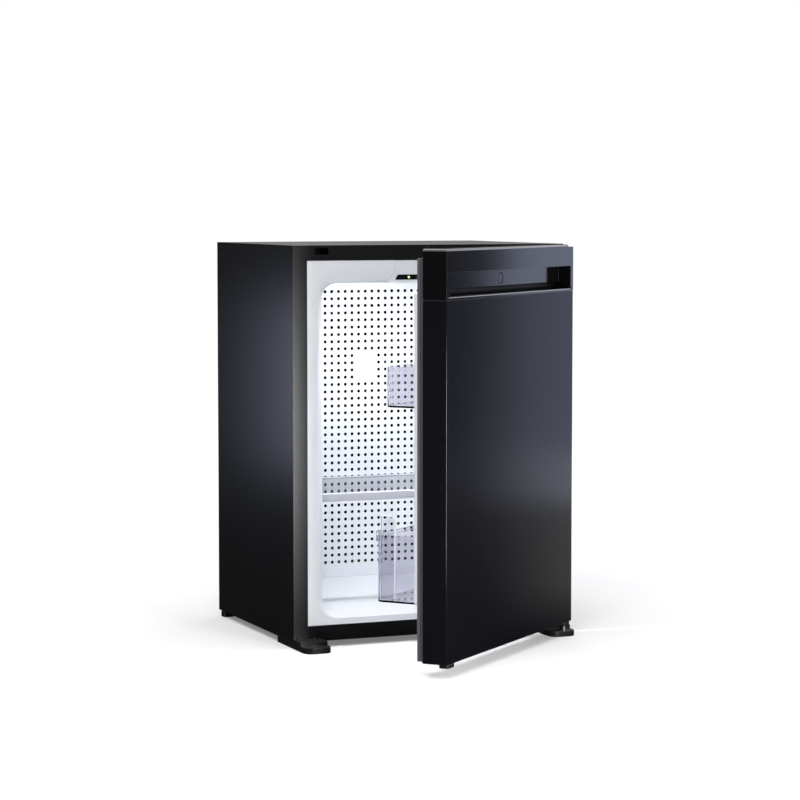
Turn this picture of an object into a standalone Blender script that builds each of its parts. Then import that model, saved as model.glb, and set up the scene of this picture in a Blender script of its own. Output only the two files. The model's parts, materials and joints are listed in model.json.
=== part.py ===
"""Hotel minibar fridge, about 40 litres, with an absorption cooling unit.

Metres, +Z up. The pieces are modelled with the door shut, X across the
cabinet from its middle, Y back from the cabinet's front plane and Z up from
the floor. The door hangs from an empty on the hinge axis, which stands
ajar. One more empty centres the whole on the world origin.
"""
import math

import bmesh
import bpy
from mathutils import Matrix, Vector

for old in list(bpy.data.objects):
    bpy.data.objects.remove(old, do_unlink=True)

# Cabinet sizes
CABINET_WIDTH = 0.417
CABINET_DEPTH = 0.328
CABINET_HEIGHT = 0.556
GROUND_CLEARANCE = 0.009
SHEET = 0.001
FLANGE_WIDTH = 0.0212
FLANGE_TOP = 0.0213
RAIL_HEIGHT = 0.0219
RAIL_THICKNESS = 0.0018
FIT_GAP = 0.0003

# Inner liner: the opening in its flange, the flared mouth and the chamber
LINER_FLANGE_THICKNESS = 0.003
LINER_WALL = 0.002
OPENING_SIDE = 0.0324
OPENING_TOP = 0.0339
OPENING_BOTTOM = 0.0311
OPENING_RADIUS = 0.036
CHAMBER_SIDE = 0.046
CHAMBER_TOP = 0.053
CHAMBER_FLOOR = 0.0505
CHAMBER_RADIUS = 0.022
CHAMBER_BACK = 0.276
FLARE_DEPTH = 0.008
FLOOR_SLOPE_LENGTH = 0.045
CORNER_STEPS = 6
FLARE_STEPS = 4

# Shelf ribs moulded into both side walls
RIB_DEPTH = 0.0033
RIB_HEIGHT = 0.021
RIB_PITCH = 0.046
RIB_COUNT = 6
FIRST_RIB_TOP = 0.1919

# Shelf
SHELF_FRONT = 0.0325
SHELF_REAR = 0.2495
TRIM_HEIGHT = 0.0115
TRIM_DEPTH = 0.012
TRIM_RADIUS = 0.0015
SHELF_GLASS = 0.004
GLASS_LIFT = 0.0062
GLASS_GRIP = 0.008

# Cover over the cold plate
COVER_FRONT = 0.251
COVER_THICKNESS = 0.002
COLD_PLATE_WIDTH = 0.180
COLD_PLATE_DROP = 0.265
COLD_PLATE_HEIGHT = 0.150
COLD_PLATE_THICKNESS = 0.0045
FIN_COUNT = 9
FIN_THICKNESS = 0.0015
FIN_DEPTH = 0.016
GUTTER_WIDTH = 0.200
GUTTER_HEIGHT = 0.014
GUTTER_DROP = 0.006

# Control and lamp module in the top of the opening
MODULE_TOP_WIDTH = 0.108
MODULE_BOTTOM_WIDTH = 0.132
MODULE_DEPTH = 0.036
MODULE_FLARE_HEIGHT = 0.0175
WINDOW_TOP_WIDTH = 0.101
WINDOW_BOTTOM_WIDTH = 0.109
WINDOW_LIFT = 0.0040
WINDOW_HEIGHT = 0.0068
WINDOW_DEPTH = 0.0024
LED_OFFSET = -0.0337
LED_RADIUS = 0.0014
LAMP_WIDTH = 0.070
LAMP_DEPTH = 0.014
LAMP_THICKNESS = 0.002

# Door
DOOR_THICKNESS = 0.035
DOOR_GAP = 0.010
DOOR_BOTTOM_LIFT = 0.0112
DOOR_TOP_DROP = 0.0004
DOOR_SKIN = 0.0012
DOOR_EDGE_RADIUS = 0.0015
HANDLE_HEIGHT = 0.0666
STRIP_HEIGHT = 0.0306
RECESS_HEIGHT = 0.0315
RECESS_DEPTH = 0.019
RECESS_END_WALL = 0.009
RECESS_SCOOP = 0.009
MOULDING_WALL = 0.0025
MOULDING_CAP = 0.0045
MOULDING_HINGE_BLOCK = 0.0075
BUTTON_RADIUS = 0.0075
BUTTON_LENGTH = 0.0058
BUTTON_DROP = 0.0122
BUTTON_TRAVEL = 0.0012
BUTTON_PROUD = 0.0002
DIKE_INSET = 0.054
DIKE_WIDTH = 0.012
DIKE_REACH = 0.030
DIKE_BOTTOM = 0.080
DIKE_REST_TOP = 0.077
DIKE_TOP_DROP = 0.061
DIKE_CROSS_HEIGHT = 0.013
DIKE_CROSS_REACH = 0.006
DIKE_RADIUS = 0.003
DOOR_LINER_SHEET = 0.0023
DOOR_LINER_PROUD = 0.0005

# Gasket
GASKET_FREE_INSET = 0.003
GASKET_HINGE_INSET = 0.0116
GASKET_BOTTOM = 0.0125
GASKET_TOP_DROP = 0.0125
GASKET_WIDTH = 0.013
GASKET_FOOT = 0.0042
GASKET_STEP = 0.002
GASKET_SEAL_GAP = 0.0004

# Hinge
HINGE_INSET = 0.016
HINGE_SETBACK = 0.005
HINGE_PIN_RADIUS = 0.0025
REST_ANGLE = math.radians(40.68)
ARM_THICKNESS = 0.0022
ARM_HALF_WIDTH = 0.0039
ARM_ROOT = 0.030
NOTCH_MARGIN = 0.0055
PIN_DEPTH = 0.0135
BUSH_WALL = 0.0014
BUSH_DROP = 0.0054
BUSH_HALF_WIDTH = 0.010
BUSH_BACK = 0.031
BUSH_RADIUS = 0.002
SPIGOT_HALF_WIDTH = 0.006
SPIGOT_LENGTH = 0.015
SPIGOT_MARGIN = 0.0015

# Front feet, which are also the hinge brackets, and rear feet
BRACKET_WIDTH = 0.040
BRACKET_REACH = 0.050
BRACKET_BACK = 0.067
LIP_HEIGHT = 0.008
STEP_HEIGHT = 0.013
STEP_REACH = 0.028
BRACKET_RADIUS = 0.012
REAR_FOOT_WIDTH = 0.016
REAR_FOOT_LENGTH = 0.016
REAR_FOOT_SETBACK = 0.008
REAR_FOOT_RADIUS = 0.003
SCREW_RADIUS = 0.0034
SCREW_SHANK = 0.0017
SCREW_HEAD = 0.0016
SCREW_INSETS = (0.0075, 0.028)
SCREW_FRONT = 0.0088

# Keeper for a lock, behind the slot in the flange
SLOT_INSET = 0.0332
SLOT_WIDTH = 0.0203
SLOT_HEIGHT = 0.0092
SLOT_DROP = 0.004
KEEPER_MARGIN = 0.0055
KEEPER_WALL = 0.0015
KEEPER_DEPTH = 0.0185

# Door bins and the bottle retainer
BIN_GAP = 0.0003
BIN_WALL = 0.002
BIN_RADIUS = 0.012
LOWER_BIN_BOTTOM = 0.0773
LOWER_BIN_HEIGHT = 0.0911
LOWER_BIN_REACH = 0.094
UPPER_BIN_DROP = 0.2145
UPPER_BIN_HEIGHT = 0.0545
UPPER_BIN_REACH = 0.080
RETAINER_INSET = 0.0805
RETAINER_THICKNESS = 0.002
RETAINER_DEPTH = 0.021
RETAINER_TOP = 0.1935
RETAINER_RADIUS = 0.008
RETAINER_CAP_HEIGHT = 0.004
RETAINER_CLIP_WIDTH = 0.012
RETAINER_CLIP_WALL = 0.002
RETAINER_CLIP_DROP = 0.010

# Cooling unit behind the cabinet
UNIT_DEPTH = 0.072
BRACKET_PLATE = 0.002
BRACKET_PLATE_HEIGHT = 0.024
BRACKET_PLATE_INSET = 0.0385
PLUG_WIDTH = 0.130
PLUG_HEIGHT = 0.080
PLUG_DROP = 0.220
EVAPORATOR_TUBE_RADIUS = 0.008
EVAPORATOR_TUBE_SPACING = 0.060
EVAPORATOR_TUBE_REACH = 0.026
BOILER_RADIUS = 0.028
BOILER_BOTTOM = 0.105
BOILER_HEIGHT = 0.225
BOILER_INSET = 0.0835
HEATER_RADIUS = 0.007
HEATER_LENGTH = 0.030
VESSEL_RADIUS = 0.025
VESSEL_LENGTH = 0.180
VESSEL_HEIGHT = 0.075
VESSEL_INSET = 0.1535
COIL_RADIUS = 0.0065
COIL_RUNS = 4
COIL_PITCH = 0.034
COIL_BOTTOM = 0.135
COIL_HALF_LENGTH = 0.070
CONDENSER_RADIUS = 0.009
CONDENSER_DROP = 0.080
CONDENSER_INSET = 0.0535
CONDENSER_FINS = 13
CONDENSER_FIN_THICKNESS = 0.0012
CONDENSER_FIN_HEIGHT = 0.070
PIPE_RADIUS = 0.0055
PIPE_REACH = 0.0165
PIPE_TURN = 0.0099
PIPE_DIP = 0.0055
POWER_BOX_WIDTH = 0.052
POWER_BOX_PIPE_GAP = 0.0395
POWER_BOX_DEPTH = 0.040
POWER_BOX_INSET = 0.0485
POWER_BOX_BOTTOM = 0.245
POWER_BOX_RADIUS = 0.003
INLET_WIDTH = 0.030
INLET_HEIGHT = 0.018
INLET_DEPTH = 0.024
INLET_WALL = 0.003
INLET_RADIUS = 0.002
ROUND_SIDES = 20

# Values worked out from the sizes above
LEFT = -CABINET_WIDTH / 2
RIGHT = CABINET_WIDTH / 2
BASE = GROUND_CLEARANCE
TOP = BASE + CABINET_HEIGHT
DOOR_INNER = -DOOR_GAP
DOOR_FACE = DOOR_INNER - DOOR_THICKNESS
DOOR_BOTTOM = BASE + DOOR_BOTTOM_LIFT
DOOR_TOP = TOP - DOOR_TOP_DROP
HANDLE_SEAM = DOOR_TOP - HANDLE_HEIGHT
FOLD = DOOR_TOP - STRIP_HEIGHT
HINGE_X = RIGHT - HINGE_INSET
HINGE_Y = DOOR_FACE + HINGE_SETBACK
ARM_TOP = TOP - SHEET - FIT_GAP
ARM_BOTTOM = ARM_TOP - ARM_THICKNESS
BORE_RADIUS = HINGE_PIN_RADIUS + FIT_GAP
CASE_INSIDE = CABINET_WIDTH / 2 - SHEET - FIT_GAP
LINER_LEFT = LEFT + FLANGE_WIDTH + FIT_GAP
LINER_TOP = TOP - FLANGE_TOP - FIT_GAP
LINER_BOTTOM = BASE + RAIL_HEIGHT + FIT_GAP
BACK_FACE = CABINET_DEPTH
UNIT_FACE = BACK_FACE + FIT_GAP + BRACKET_PLATE + FIT_GAP
REAR_REACH = BACK_FACE + UNIT_DEPTH
DOOR_SWING = CABINET_WIDTH - HINGE_INSET
FRONT_REACH = (HINGE_Y - (DOOR_SWING - DOOR_EDGE_RADIUS) * math.sin(REST_ANGLE)
               - (HINGE_SETBACK - DOOR_EDGE_RADIUS) * math.cos(REST_ANGLE) - DOOR_EDGE_RADIUS)
MIDDLE_Y = (FRONT_REACH + REAR_REACH) / 2
COLD_PLATE_BOTTOM = TOP - COLD_PLATE_DROP
PLUG_BOTTOM = TOP - PLUG_DROP
CONDENSER_HEIGHT = TOP - CONDENSER_DROP
CONDENSER_HALF_LENGTH = RIGHT - CONDENSER_INSET
BOILER_OFFSET = RIGHT - BOILER_INSET
POWER_BOX_OFFSET = LEFT + POWER_BOX_INSET
VESSEL_OFFSET = LEFT + VESSEL_INSET
TUBE_LEVEL = PLUG_BOTTOM + PLUG_HEIGHT / 2
POWER_BOX_TOP = TUBE_LEVEL - PIPE_RADIUS - POWER_BOX_PIPE_GAP
CUT = 0.01

# Collections and empties
scene_root = bpy.context.scene.collection
parts = bpy.data.collections.new("minibar_fridge")
cutters = bpy.data.collections.new("cutters")
guides = bpy.data.collections.new("guides")
for collection in (parts, cutters, guides):
    scene_root.children.link(collection)


def add_empty(name, location, parent=None, turn=0.0):
    """An empty that other objects hang from."""
    empty = bpy.data.objects.new(name, None)
    guides.objects.link(empty)
    empty.location = location
    empty.rotation_euler = (0.0, 0.0, turn)
    empty.parent = parent
    empty["pivot"] = (0.0, 0.0, 0.0)
    return empty


fridge = add_empty("fridge_origin", (0.0, -MIDDLE_Y, 0.0))
door = add_empty("door_hinge_axis", (HINGE_X, HINGE_Y, 0.0), fridge, REST_ANGLE)
door["pivot"] = (HINGE_X, HINGE_Y, 0.0)


# Materials
def new_material(name, color, roughness, metallic=0.0):
    """A plain Principled material."""
    material = bpy.data.materials.new(name)
    material.use_nodes = True
    shader = material.node_tree.nodes["Principled BSDF"]
    shader.inputs["Base Color"].default_value = (*color, 1.0)
    shader.inputs["Roughness"].default_value = roughness
    shader.inputs["Metallic"].default_value = metallic
    material.diffuse_color = (*color, 1.0)
    return material


CASE_BLACK = new_material("case_black", (0.006, 0.006, 0.008), 0.35)
DOOR_BLACK = new_material("door_black", (0.005, 0.005, 0.007), 0.25)
TRIM_BLACK = new_material("trim_black", (0.005, 0.005, 0.006), 0.30)
FOOT_BLACK = new_material("foot_black", (0.009, 0.009, 0.010), 0.45)
SEAL_GREY = new_material("seal_grey", (0.045, 0.046, 0.050), 0.55)
LINER_WHITE = new_material("liner_white", (0.80, 0.82, 0.85), 0.35)
FOAM_CREAM = new_material("foam_cream", (0.75, 0.66, 0.42), 0.90)
TRIM_GREY = new_material("trim_grey", (0.55, 0.56, 0.62), 0.35)
SMOKE_CLEAR = new_material("smoke_clear", (0.25, 0.24, 0.27), 0.10)
SHELF_GLASS_TINT = new_material("shelf_glass", (0.10, 0.10, 0.12), 0.05)
WINDOW_BLACK = new_material("window_black", (0.006, 0.006, 0.007), 0.10)
LED_GREEN = new_material("led_green", (0.05, 0.80, 0.15), 0.20)
LAMP_WHITE = new_material("lamp_white", (0.90, 0.90, 0.88), 0.30)
SCREW_BLACK = new_material("screw_black", (0.030, 0.030, 0.032), 0.35, 1.0)
STEEL = new_material("steel", (0.55, 0.56, 0.58), 0.30, 1.0)
ALUMINIUM = new_material("aluminium", (0.70, 0.71, 0.73), 0.40, 1.0)
UNIT_BLACK = new_material("unit_black", (0.016, 0.016, 0.018), 0.50)
CANISTER_GREY = new_material("canister_grey", (0.42, 0.43, 0.44), 0.45, 1.0)


# Modelling helpers
def place(name, bm, material, parent, cutter):
    """Turn a bmesh into an object that hangs from an empty."""
    mesh = bpy.data.meshes.new(name)
    bm.to_mesh(mesh)
    bm.free()
    item = bpy.data.objects.new(name, mesh)
    item.parent = parent
    item.location = -Vector(parent["pivot"])
    if cutter:
        cutters.objects.link(item)
        item.hide_render = True
        item.display_type = "WIRE"
    else:
        parts.objects.link(item)
        mesh.materials.append(material)
    return item


def block(name, low, high, material=None, parent=fridge, cutter=False, radius=0.0, along="Z",
          segments=3, top_inset=0.0, edges=None):
    """A box between two corners, with the edges along one axis rounded."""
    bm = bmesh.new()
    bmesh.ops.create_cube(bm, size=1.0)
    low, high = Vector(low), Vector(high)
    middle, size = (low + high) / 2, high - low
    for vert in bm.verts:
        vert.co = Vector(vert.co[i] * size[i] + middle[i] for i in range(3))
        if top_inset and vert.co.z > middle.z:
            vert.co.x += math.copysign(top_inset, middle.x - vert.co.x)
    if radius:
        axis = "XYZ".index(along)
        chosen = []
        for edge in bm.edges:
            run = (edge.verts[1].co - edge.verts[0].co).normalized()
            point = (edge.verts[0].co + edge.verts[1].co) / 2
            if abs(run[axis]) > 0.99 and (edges is None or edges(point - middle)):
                chosen.append(edge)
        bmesh.ops.bevel(bm, geom=chosen, offset=radius, segments=segments, profile=0.5,
                        affect="EDGES")
    return place(name, bm, material, parent, cutter)


def rod(name, start, end, radius, material=None, parent=fridge, cutter=False, sides=ROUND_SIDES):
    """A round bar from one point to another."""
    start, end = Vector(start), Vector(end)
    run = end - start
    turn = run.to_track_quat("Z", "Y").to_matrix().to_4x4()
    bm = bmesh.new()
    bmesh.ops.create_cone(bm, cap_ends=True, cap_tris=False, segments=sides, radius1=radius,
                          radius2=radius, depth=run.length,
                          matrix=Matrix.Translation((start + end) / 2) @ turn)
    item = place(name, bm, material, parent, cutter)
    smooth(item)
    return item


def smooth(item, angle=0.7):
    """Shade the round faces smooth and keep the sharp edges."""
    item.data.shade_smooth()
    item.data.set_sharp_from_angle(angle=angle)


def combine(target, other, operation):
    """Add a live Boolean modifier to the target."""
    modifier = target.modifiers.new(other.name, "BOOLEAN")
    modifier.operation = operation
    modifier.object = other
    return target


def cut(target, *tools):
    """Cut each tool out of the target."""
    for tool in tools:
        combine(target, tool, "DIFFERENCE")


def join(target, *tools):
    """Join each tool to the target as one body."""
    for tool in tools:
        combine(target, tool, "UNION")


def tool_block(name, low, high, parent=fridge, **shape):
    """A box used as a cutter, or as a shape to join."""
    return block(name, low, high, None, parent, True, **shape)


def tool_rod(name, start, end, radius, parent=fridge, sides=ROUND_SIDES):
    """A bar used as a cutter, or as a shape to join."""
    return rod(name, start, end, radius, None, parent, True, sides)


def across(side, near, far):
    """Both X values of a span given by its distances from the cabinet's side."""
    edge = side * CABINET_WIDTH / 2
    return sorted((edge - side * near, edge - side * far))


def ring_points(y, side, bottom, top, radius):
    """One rounded rectangle across the cabinet, counted from its outer faces."""
    half = CABINET_WIDTH / 2 - side
    low, high = BASE + bottom, TOP - top
    corners = ((half, high, 0), (-half, high, 1), (-half, low, 2), (half, low, 3))
    points = []
    for x, z, quarter in corners:
        centre_x = x - math.copysign(radius, x)
        centre_z = z - radius if z == high else z + radius
        for step in range(CORNER_STEPS + 1):
            angle = math.radians(90) * (quarter + step / CORNER_STEPS)
            points.append((centre_x + radius * math.cos(angle), y,
                           centre_z + radius * math.sin(angle)))
    return points


def loft(name, rings, material=None, parent=fridge, cutter=False):
    """A closed solid through rings that have as many points each."""
    bm = bmesh.new()
    loops = [[bm.verts.new(point) for point in ring] for ring in rings]
    count = len(rings[0])
    for first, second in zip(loops, loops[1:]):
        for i in range(count):
            j = (i + 1) % count
            bm.faces.new((first[i], first[j], second[j], second[i]))
    bm.faces.new(loops[0])
    bm.faces.new(list(reversed(loops[-1])))
    bmesh.ops.recalc_face_normals(bm, faces=bm.faces)
    return place(name, bm, material, parent, cutter)


def chamber_rings(side_grow, grow, front, back):
    """The food chamber, from its flared mouth to the back, grown by a wall."""
    rings = []
    for step in range(FLARE_STEPS + 1):
        angle = math.radians(90) * step / FLARE_STEPS
        inward = math.sin(angle)
        y = FLARE_DEPTH * (1 - math.cos(angle))
        side = OPENING_SIDE + (CHAMBER_SIDE - OPENING_SIDE) * inward
        top = OPENING_TOP + (CHAMBER_TOP - OPENING_TOP) * inward
        bottom = OPENING_BOTTOM + (CHAMBER_FLOOR - OPENING_BOTTOM) * y / FLOOR_SLOPE_LENGTH
        radius = OPENING_RADIUS + (CHAMBER_RADIUS - OPENING_RADIUS) * inward
        rings.append(ring_points(y, side - side_grow, bottom - grow, top - grow, radius + grow))
    mouth = ring_points(front, OPENING_SIDE - side_grow, OPENING_BOTTOM - grow,
                        OPENING_TOP - grow, OPENING_RADIUS + grow)
    chamber = (CHAMBER_SIDE - side_grow, CHAMBER_FLOOR - grow, CHAMBER_TOP - grow,
               CHAMBER_RADIUS + grow)
    return [mouth] + rings + [ring_points(FLOOR_SLOPE_LENGTH, *chamber), ring_points(back, *chamber)]


def tube(name, points, radius, material, parent=fridge):
    """A bent tube along a list of points."""
    curve = bpy.data.curves.new(name, "CURVE")
    curve.dimensions = "3D"
    curve.bevel_depth = radius
    curve.bevel_resolution = 2
    curve.use_fill_caps = True
    spline = curve.splines.new("POLY")
    spline.points.add(len(points) - 1)
    for point, co in zip(spline.points, points):
        point.co = (*co, 1.0)
    item = bpy.data.objects.new(name, curve)
    parts.objects.link(item)
    item.parent = parent
    item.location = -Vector(parent["pivot"])
    curve.materials.append(material)
    return item


def rounded_path(corners, radius, steps=4):
    """The points of a path whose corners are turned on a radius."""
    corners = [Vector(corner) for corner in corners]
    points = [corners[0]]
    for before, corner, after in zip(corners, corners[1:], corners[2:]):
        into, out = (corner - before).normalized(), (after - corner).normalized()
        turn = into.angle(out)
        reach = radius * math.tan(turn / 2)
        start = corner - into * reach
        normal = (out - into * into.dot(out)).normalized()
        centre = start + normal * radius
        for step in range(steps + 1):
            angle = turn * step / steps
            points.append(centre - normal * radius * math.cos(angle) + into * radius * math.sin(angle))
    return points + [corners[-1]]


# Cabinet shells
def make_outer_case():
    """The folded steel wrap: top, sides and a narrow front flange."""
    case = block("outer_case", (LEFT, 0, BASE), (RIGHT, CABINET_DEPTH, TOP), CASE_BLACK)
    cut(case,
        tool_block("case_inside", (LEFT + SHEET, SHEET, BASE - CUT),
                   (RIGHT - SHEET, CABINET_DEPTH + CUT, TOP - SHEET)),
        tool_block("case_opening", (LEFT + FLANGE_WIDTH, -CUT, BASE - 2 * CUT),
                   (RIGHT - FLANGE_WIDTH, CUT, TOP - FLANGE_TOP)),
        tool_block("case_slot", (LEFT + SLOT_INSET, -CUT, TOP - SLOT_DROP - SLOT_HEIGHT),
                   (LEFT + SLOT_INSET + SLOT_WIDTH, CUT, TOP - SLOT_DROP)),
        tool_block("case_arm_slot", (HINGE_X - ARM_HALF_WIDTH - FIT_GAP, -CUT, ARM_BOTTOM - FIT_GAP),
                   (HINGE_X + ARM_HALF_WIDTH + FIT_GAP, CUT, TOP - SHEET)))


def make_base_pan():
    """The bottom sheet with the rail that closes the front below the opening."""
    pan = block("base_pan", (-CASE_INSIDE, SHEET + FIT_GAP, BASE),
                (CASE_INSIDE, CABINET_DEPTH - SHEET - FIT_GAP, BASE + SHEET), CASE_BLACK)
    rail = RIGHT - FLANGE_WIDTH - FIT_GAP
    join(pan, tool_block("pan_rail", (-rail, 0, BASE), (rail, RAIL_THICKNESS, BASE + RAIL_HEIGHT)))


def make_back_plate():
    """The rear sheet, open where the cooling unit goes through."""
    plate = block("back_plate", (-CASE_INSIDE, BACK_FACE - SHEET, BASE + SHEET + FIT_GAP),
                  (CASE_INSIDE, BACK_FACE, TOP - SHEET - FIT_GAP), UNIT_BLACK)
    cut(plate, plug_shape("back_plate_hole", CUT, FIT_GAP))


def plug_shape(name, beyond, grow):
    """The space of the insulating plug that carries the evaporator tubes."""
    half = PLUG_WIDTH / 2 + grow
    front = CHAMBER_BACK + LINER_WALL + FIT_GAP - grow
    return tool_block(name, (-half, front, PLUG_BOTTOM - grow),
                      (half, BACK_FACE + beyond, PLUG_BOTTOM + PLUG_HEIGHT + grow))


def keeper_corners(grow):
    """Both corners of the latch keeper, grown by a clearance."""
    low = (LEFT + SLOT_INSET - KEEPER_MARGIN - grow, SHEET + FIT_GAP - grow,
           TOP - SLOT_DROP - SLOT_HEIGHT - KEEPER_WALL - grow)
    high = (LEFT + SLOT_INSET + SLOT_WIDTH + KEEPER_MARGIN + grow,
            SHEET + FIT_GAP + KEEPER_DEPTH + grow, TOP - SHEET - FIT_GAP + grow)
    return low, high


def module_shape(name, grow, **options):
    """The space of the control and lamp module: upright above, flared below."""
    wide, narrow = MODULE_BOTTOM_WIDTH / 2 + grow, MODULE_TOP_WIDTH / 2 + grow
    front = -CUT if grow else FIT_GAP
    bottom = TOP - CHAMBER_TOP - grow
    flare = TOP - CHAMBER_TOP + MODULE_FLARE_HEIGHT
    lower = block(name, (-wide, front, bottom), (wide, MODULE_DEPTH + grow, flare),
                  top_inset=wide - narrow, **options)
    join(lower, tool_block(name + "_top", (-narrow, front, flare - FIT_GAP),
                           (narrow, MODULE_DEPTH + grow, LINER_TOP - FIT_GAP + grow)))
    return lower


def make_cabinet_foam():
    """The foamed insulation between the case and the liner."""
    foam = block("cabinet_foam", (-CASE_INSIDE, RAIL_THICKNESS + FIT_GAP, BASE + SHEET + FIT_GAP),
                 (CASE_INSIDE, BACK_FACE - SHEET - FIT_GAP, TOP - SHEET - FIT_GAP), FOAM_CREAM)
    tub = chamber_rings(RIB_DEPTH + LINER_WALL + FIT_GAP, LINER_WALL + FIT_GAP, -CUT,
                        CHAMBER_BACK + LINER_WALL + FIT_GAP)
    flange = tool_block("foam_flange_space", (LINER_LEFT - FIT_GAP, -CUT, LINER_BOTTOM - FIT_GAP),
                        (-LINER_LEFT + FIT_GAP, LINER_FLANGE_THICKNESS + FIT_GAP,
                         LINER_TOP + FIT_GAP))
    arm = tool_block("foam_arm_space", (HINGE_X - ARM_HALF_WIDTH - FIT_GAP, -CUT,
                                        ARM_BOTTOM - FIT_GAP),
                     (HINGE_X + ARM_HALF_WIDTH + FIT_GAP, ARM_ROOT + FIT_GAP, TOP))
    cut(foam, loft("foam_tub_space", tub, cutter=True), flange,
        tool_block("foam_keeper_space", *keeper_corners(FIT_GAP)), arm,
        module_shape("foam_module_space", FIT_GAP, cutter=True),
        plug_shape("foam_plug_space", CUT, FIT_GAP))


def make_inner_liner():
    """The white liner: flange, flared mouth, ribbed side walls and raised floor."""
    liner = block("inner_liner", (LINER_LEFT, 0, LINER_BOTTOM),
                  (-LINER_LEFT, LINER_FLANGE_THICKNESS, LINER_TOP), LINER_WHITE)
    outside = chamber_rings(RIB_DEPTH + LINER_WALL, LINER_WALL, LINER_FLANGE_THICKNESS / 2,
                            CHAMBER_BACK + LINER_WALL)
    outside = [ring for ring in outside if ring[0][1] >= LINER_FLANGE_THICKNESS / 2]
    join(liner, loft("liner_tub", outside, cutter=True))
    cut(liner, loft("liner_chamber", chamber_rings(0, 0, -CUT, CHAMBER_BACK), cutter=True))
    groove = RIB_PITCH - RIB_HEIGHT
    for level in range(RIB_COUNT):
        bottom = BASE + FIRST_RIB_TOP + RIB_PITCH * level
        for side in (-1, 1):
            low_x, high_x = across(side, CHAMBER_SIDE - RIB_DEPTH, CHAMBER_SIDE + CUT / 2)
            cut(liner, tool_block(f"groove_{level}_{side}", (low_x, FLARE_DEPTH, bottom),
                                  (high_x, CHAMBER_BACK - CUT, bottom + groove)))
    cut(liner, module_shape("liner_module_space", FIT_GAP, cutter=True))
    for side in (-1, 1):
        centre = side * EVAPORATOR_TUBE_SPACING / 2
        height = TUBE_LEVEL
        cut(liner, tool_rod(f"liner_tube_hole_{side}", (centre, CHAMBER_BACK - CUT, height),
                            (centre, CHAMBER_BACK + CUT, height), EVAPORATOR_TUBE_RADIUS + FIT_GAP))


# Chamber fittings
def make_back_cover():
    """The white cover in front of the cold plate."""
    shape = (CHAMBER_SIDE + FIT_GAP, CHAMBER_FLOOR + FIT_GAP, CHAMBER_TOP + FIT_GAP,
             CHAMBER_RADIUS - FIT_GAP)
    loft("back_cover", [ring_points(COVER_FRONT, *shape),
                        ring_points(COVER_FRONT + COVER_THICKNESS, *shape)], LINER_WHITE)


def make_cold_plate():
    """The finned aluminium plate that the evaporator tubes cool."""
    half = COLD_PLATE_WIDTH / 2
    back = CHAMBER_BACK - FIT_GAP
    front = back - COLD_PLATE_THICKNESS
    top = COLD_PLATE_BOTTOM + COLD_PLATE_HEIGHT
    plate = block("cold_plate", (-half, front, COLD_PLATE_BOTTOM), (half, back, top), ALUMINIUM)
    pitch = (COLD_PLATE_WIDTH - FIN_THICKNESS) / (FIN_COUNT - 1)
    for index in range(FIN_COUNT):
        x = -half + pitch * index
        end = top - FIN_THICKNESS
        join(plate, tool_block(f"cold_fin_{index}", (x, front - FIN_DEPTH, COLD_PLATE_BOTTOM + FIN_THICKNESS),
                               (x + FIN_THICKNESS, front + COLD_PLATE_THICKNESS / 2, end)))


def make_drip_gutter():
    """The channel that catches melt water below the cold plate."""
    half = GUTTER_WIDTH / 2
    top = COLD_PLATE_BOTTOM - GUTTER_DROP
    low = (-half, COVER_FRONT + COVER_THICKNESS + FIT_GAP, top - GUTTER_HEIGHT)
    high = (half, CHAMBER_BACK - FIT_GAP, top)
    gutter = block("drip_gutter", low, high, LINER_WHITE)
    wall = LINER_WALL
    cut(gutter, tool_block("gutter_trough", (low[0] + wall, low[1] + wall, low[2] + wall),
                           (high[0] - wall, high[1] - wall, top + CUT)))


def make_control_module():
    """The housing with its dark window, status light and chamber lamp."""
    floor = TOP - CHAMBER_TOP
    housing = module_shape("control_housing", 0.0, material=LINER_WHITE)
    window_low = (-WINDOW_BOTTOM_WIDTH / 2, FIT_GAP, floor + WINDOW_LIFT)
    window_high = (WINDOW_BOTTOM_WIDTH / 2, WINDOW_DEPTH, floor + WINDOW_LIFT + WINDOW_HEIGHT)
    inset = (WINDOW_BOTTOM_WIDTH - WINDOW_TOP_WIDTH) / 2
    gap = Vector((FIT_GAP, FIT_GAP, FIT_GAP))
    space = tool_block("window_space", Vector(window_low) - gap - Vector((0, CUT, 0)),
                       Vector(window_high) + gap, top_inset=inset)
    lamp_low = (-LAMP_WIDTH / 2, MODULE_DEPTH / 2 - LAMP_DEPTH / 2, floor)
    lamp_high = (LAMP_WIDTH / 2, MODULE_DEPTH / 2 + LAMP_DEPTH / 2, floor + LAMP_THICKNESS)
    lamp_space = tool_block("lamp_space", Vector(lamp_low) - gap - Vector((0, 0, CUT)),
                            Vector(lamp_high) + gap)
    cut(housing, space, lamp_space)
    window = block("control_window", window_low, window_high, WINDOW_BLACK, top_inset=inset)
    height = floor + WINDOW_LIFT + WINDOW_HEIGHT / 2
    cut(window, tool_rod("led_hole", (LED_OFFSET, -CUT, height), (LED_OFFSET, CUT, height),
                         LED_RADIUS + FIT_GAP))
    rod("status_led", (LED_OFFSET, FIT_GAP, height), (LED_OFFSET, WINDOW_DEPTH, height),
        LED_RADIUS, LED_GREEN)
    block("lamp_lens", lamp_low, lamp_high, LAMP_WHITE)


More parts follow.
